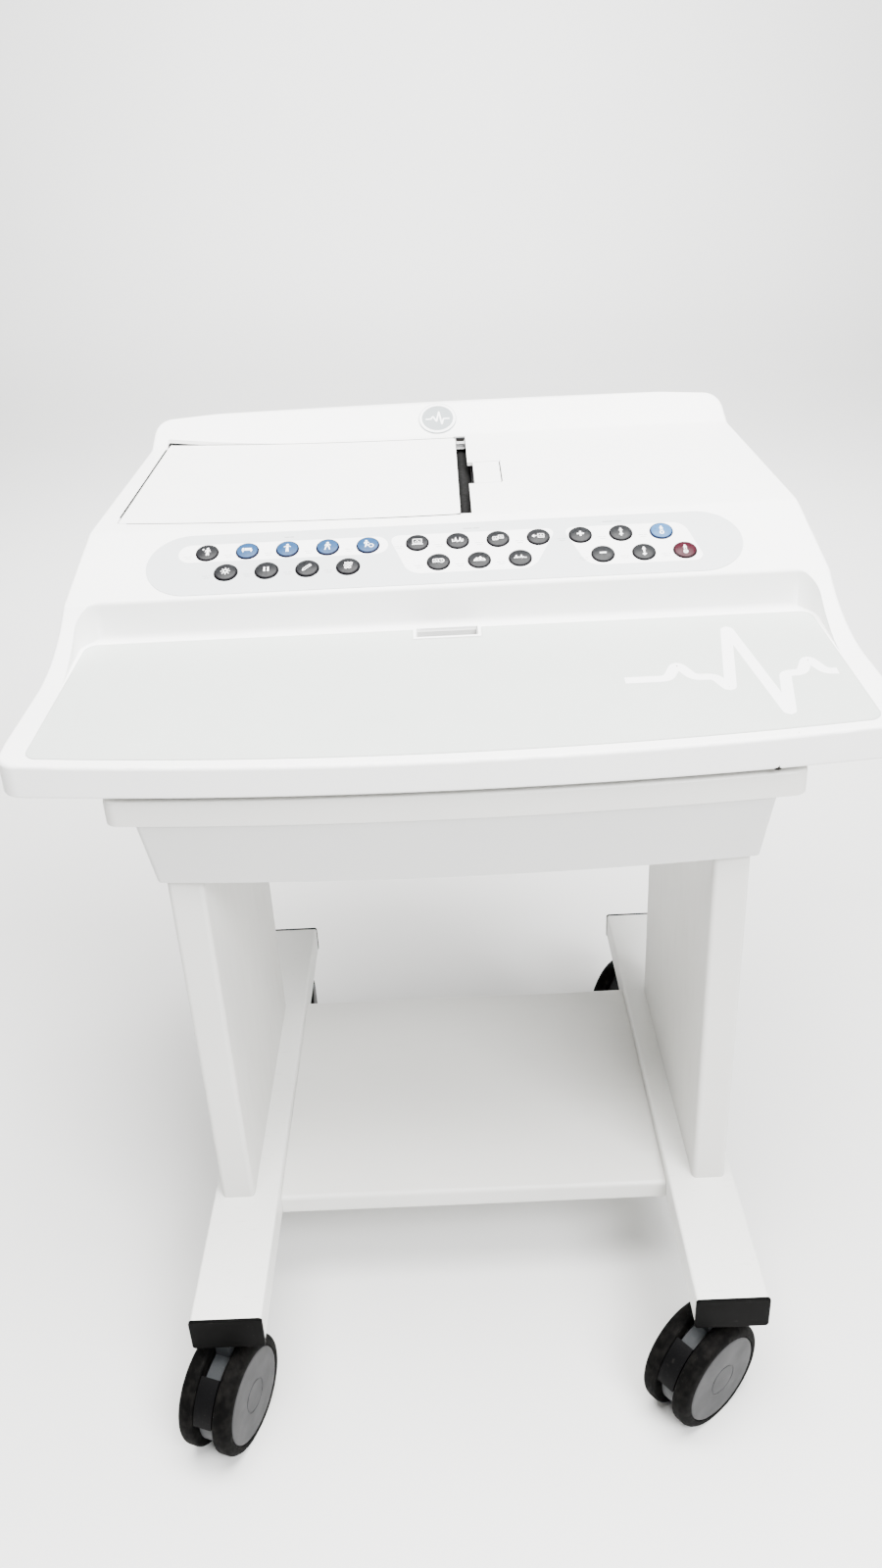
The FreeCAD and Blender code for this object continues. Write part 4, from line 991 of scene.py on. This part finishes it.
def badge():
    """A plain round badge: grey field, white ring, fine rim and a small pulse line."""
    low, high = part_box("badge")
    face = face_of("badge", BADGE_UP, (Vector(low) + Vector(high)) / 2 / MM)
    surfaced("badge", "badge_field")
    laid(flat_ring(19.0, 22.0, 0.12), face, "badge_white_ring", "badge_grey", WHITE_PRINT)
    laid(flat_ring(22.0, 22.7, 0.16), face, "badge_rim", "badge_grey", BADGE_RIM)
    beat = [(-14.5, -1), (-8, -1), (-5.6, 3), (-3.4, -1), (-1.4, -5), (1.8, 10), (5, -9.5), (7.2, -1),
            (14.5, -1)]
    laid(inked([(eased(beat, 1.0), 2.0, False)], 0.1), face, "badge_pulse_line", "badge_grey", WHITE_PRINT)


def slot_guide():
    """The light paper guide that closes the rear end of the paper slot."""
    guide = block((10.6 * MM, 24 * MM, 6.5 * MM), (26 * MM, 214.6 * MM, -5.2 * MM))
    editing(guide)
    choose_faces(guide, lambda centre, normal: normal.y < -0.5)
    bpy.ops.transform.translate(value=(0, 4 * MM, 0))
    bpy.ops.mesh.inset(thickness=1.2 * MM)
    bpy.ops.transform.translate(value=(0, 2.5 * MM, 0))
    choose_faces(guide, lambda centre, normal: normal.z > 0.5 and centre.z > -3 * MM)
    bpy.ops.mesh.inset(thickness=1.5 * MM)
    bpy.ops.transform.translate(value=(0, 0, -1.4 * MM))
    done_editing()
    apply_modifier(guide, "BEVEL", width=0.35 * MM, segments=2, limit_method="ANGLE")
    laid(guide, DECK_FACE, "slot_guide", "housing_grey", PALE_GREY)
    bar = block((10.2 * MM, 1.6 * MM, 1.6 * MM), (26 * MM, 219.0 * MM, -2.4 * MM), 0.4 * MM)
    laid(bar, DECK_FACE, "slot_guide_bar", "pedal_black", DARK_GAP)


def bowed_run(start, end, count=25):
    """Points along one of the bowed edges of the lid's opening."""
    path = []
    for index in range(count):
        t = GAP_LINE_START + (1 - GAP_LINE_START) * index / (count - 1)
        x, y = (a + (b - a) * t for a, b in zip(start, end))
        path.append((x, y - 4 * GAP_LINE_BOW * t * (1 - t)))
    return path


def lid_gap_shadows():
    """Painted shadow: low dark strips along the gaps round the lid's opening and beside its button."""
    strokes = [
        (bowed_run(*GAP_LINE_FRONT), 1.8, False),
        (bowed_run(*GAP_LINE_REAR), 1.4, False),
        (GAP_LINE_LEFT, 1.8, False),
        (BUTTON_RIGHT, 1.4, False),
        (BUTTON_REAR, 1.2, False),
    ]
    seals = inked(strokes, 0.6)
    seals.data.transform(Matrix.Translation((0, 0, -0.2 * MM)))
    laid(seals, DECK_FACE, "lid_gap_shadows", "casing_white", GAP_SHADOW_BLACK)
    # A dark dot at the button's corner: painted shadow where its two gap lines meet.
    laid(inked([dot(69.4, 143.2, 1.1)], 0.08), DECK_FACE, "button_corner_shadow", "casing_white", GAP_SHADOW_BLACK)


badge()
slot_guide()
lid_gap_shadows()


# ---- back: the screws of the connector plate -----------------------------------------------------
def plate_screw():
    """A pan-head screw with a round socket in it."""
    profile = [(0, 0.5), (1.1, 0.5), (1.25, 1.5), (2.5, 1.4), (3.0, 0.9), (3.1, -0.4), (0, -0.4), (0, 0.5)]
    return turned(profile, 36)


SCREW = plate_screw()
SCREW_PLACES = ((114, 695), (286, 695), (114, 740), (286, 740))
BACK_Y = reach("rear_panel", (0, 1, 0))[1] - 10 * MM     # the outer face of the connector plate
for index, (x, z) in enumerate(SCREW_PLACES):
    screw = copied(SCREW)
    screw.data.transform(along((x * MM, BACK_Y, z * MM), (0, 1, 0), (1, 0, 0)))
    soften(screw)
    finish_piece(screw, f"plate_screw_{index + 1}", "trolley", "zinc_steel", SCREW_ZINC)
bpy.data.objects.remove(SCREW)


# ---- camera and studio ---------------------------------------------------------------------------
def add_camera():
    data = bpy.data.cameras.new("operator view")
    data.lens = CAMERA_LENS
    data.sensor_width = 36.0
    camera = bpy.data.objects.new("operator view", data)
    camera.location = CAMERA_AT
    camera.rotation_euler = [math.radians(angle) for angle in CAMERA_TURN]
    bpy.context.scene.collection.objects.link(camera)
    bpy.context.scene.camera = camera


def add_floor():
    """A pale floor that sweeps up behind the console into a plain backdrop."""
    clear_selection()
    bpy.ops.mesh.primitive_plane_add(size=9.0)
    floor = bpy.context.object
    editing(floor)
    bpy.ops.mesh.select_mode(type="EDGE")
    bpy.ops.mesh.select_all(action="DESELECT")
    done_editing()
    for edge in floor.data.edges:
        edge.select = all(floor.data.vertices[index].co.y > 4 for index in edge.vertices)
    bpy.ops.object.mode_set(mode="EDIT")
    bpy.ops.mesh.extrude_region_move(TRANSFORM_OT_translate={"value": (0, 0.6, 0.35)})
    bpy.ops.mesh.extrude_region_move(TRANSFORM_OT_translate={"value": (0, 0.2, 4.0)})
    done_editing()
    apply_modifier(floor, "SUBSURF", levels=3, render_levels=3)
    bpy.ops.object.shade_smooth()
    finish = Finish("studio floor", (0.77, 0.77, 0.76), 0.6)
    finish.stain(finish.span(finish.noise(0.7, 3), 0.35, 0.7, 0.0, 0.4), (0.73, 0.73, 0.72))
    finish.relief(finish.noise(0.004, 2), 0.00004, 0.4)
    floor.name = "studio_floor"
    floor.data.materials.append(finish.material)


def add_light(name, at, aim, size, power, color=(1, 1, 1)):
    data = bpy.data.lights.new(name, "AREA")
    data.shape = "RECTANGLE"
    data.size, data.size_y = size
    data.energy = power
    data.color = color
    light = bpy.data.objects.new(name, data)
    light.location = at
    light.rotation_euler = (Vector(aim) - Vector(at)).to_track_quat("-Z", "Y").to_euler()
    bpy.context.scene.collection.objects.link(light)


def add_sky():
    world = bpy.data.worlds.new("soft room")
    world.use_nodes = True
    sky = world.node_tree.nodes["Background"]
    sky.inputs["Color"].default_value = (0.93, 0.96, 1.0, 1.0)
    sky.inputs["Strength"].default_value = 0.12
    bpy.context.scene.world = world


add_camera()
add_floor()
add_light("ceiling panel", (0.1, -0.2, 2.9), (0, 0.1, 0.5), (2.4, 2.0), 400, (1.0, 0.99, 0.975))
add_light("high front panel", (1.3, -2.3, 2.7), (0, 0, 0.6), (1.6, 1.2), 260, (0.99, 0.995, 1.0))
add_light("backdrop wash", (0.0, 1.6, 2.6), (0, 4.6, 1.4), (3.0, 0.8), 450)
add_sky()
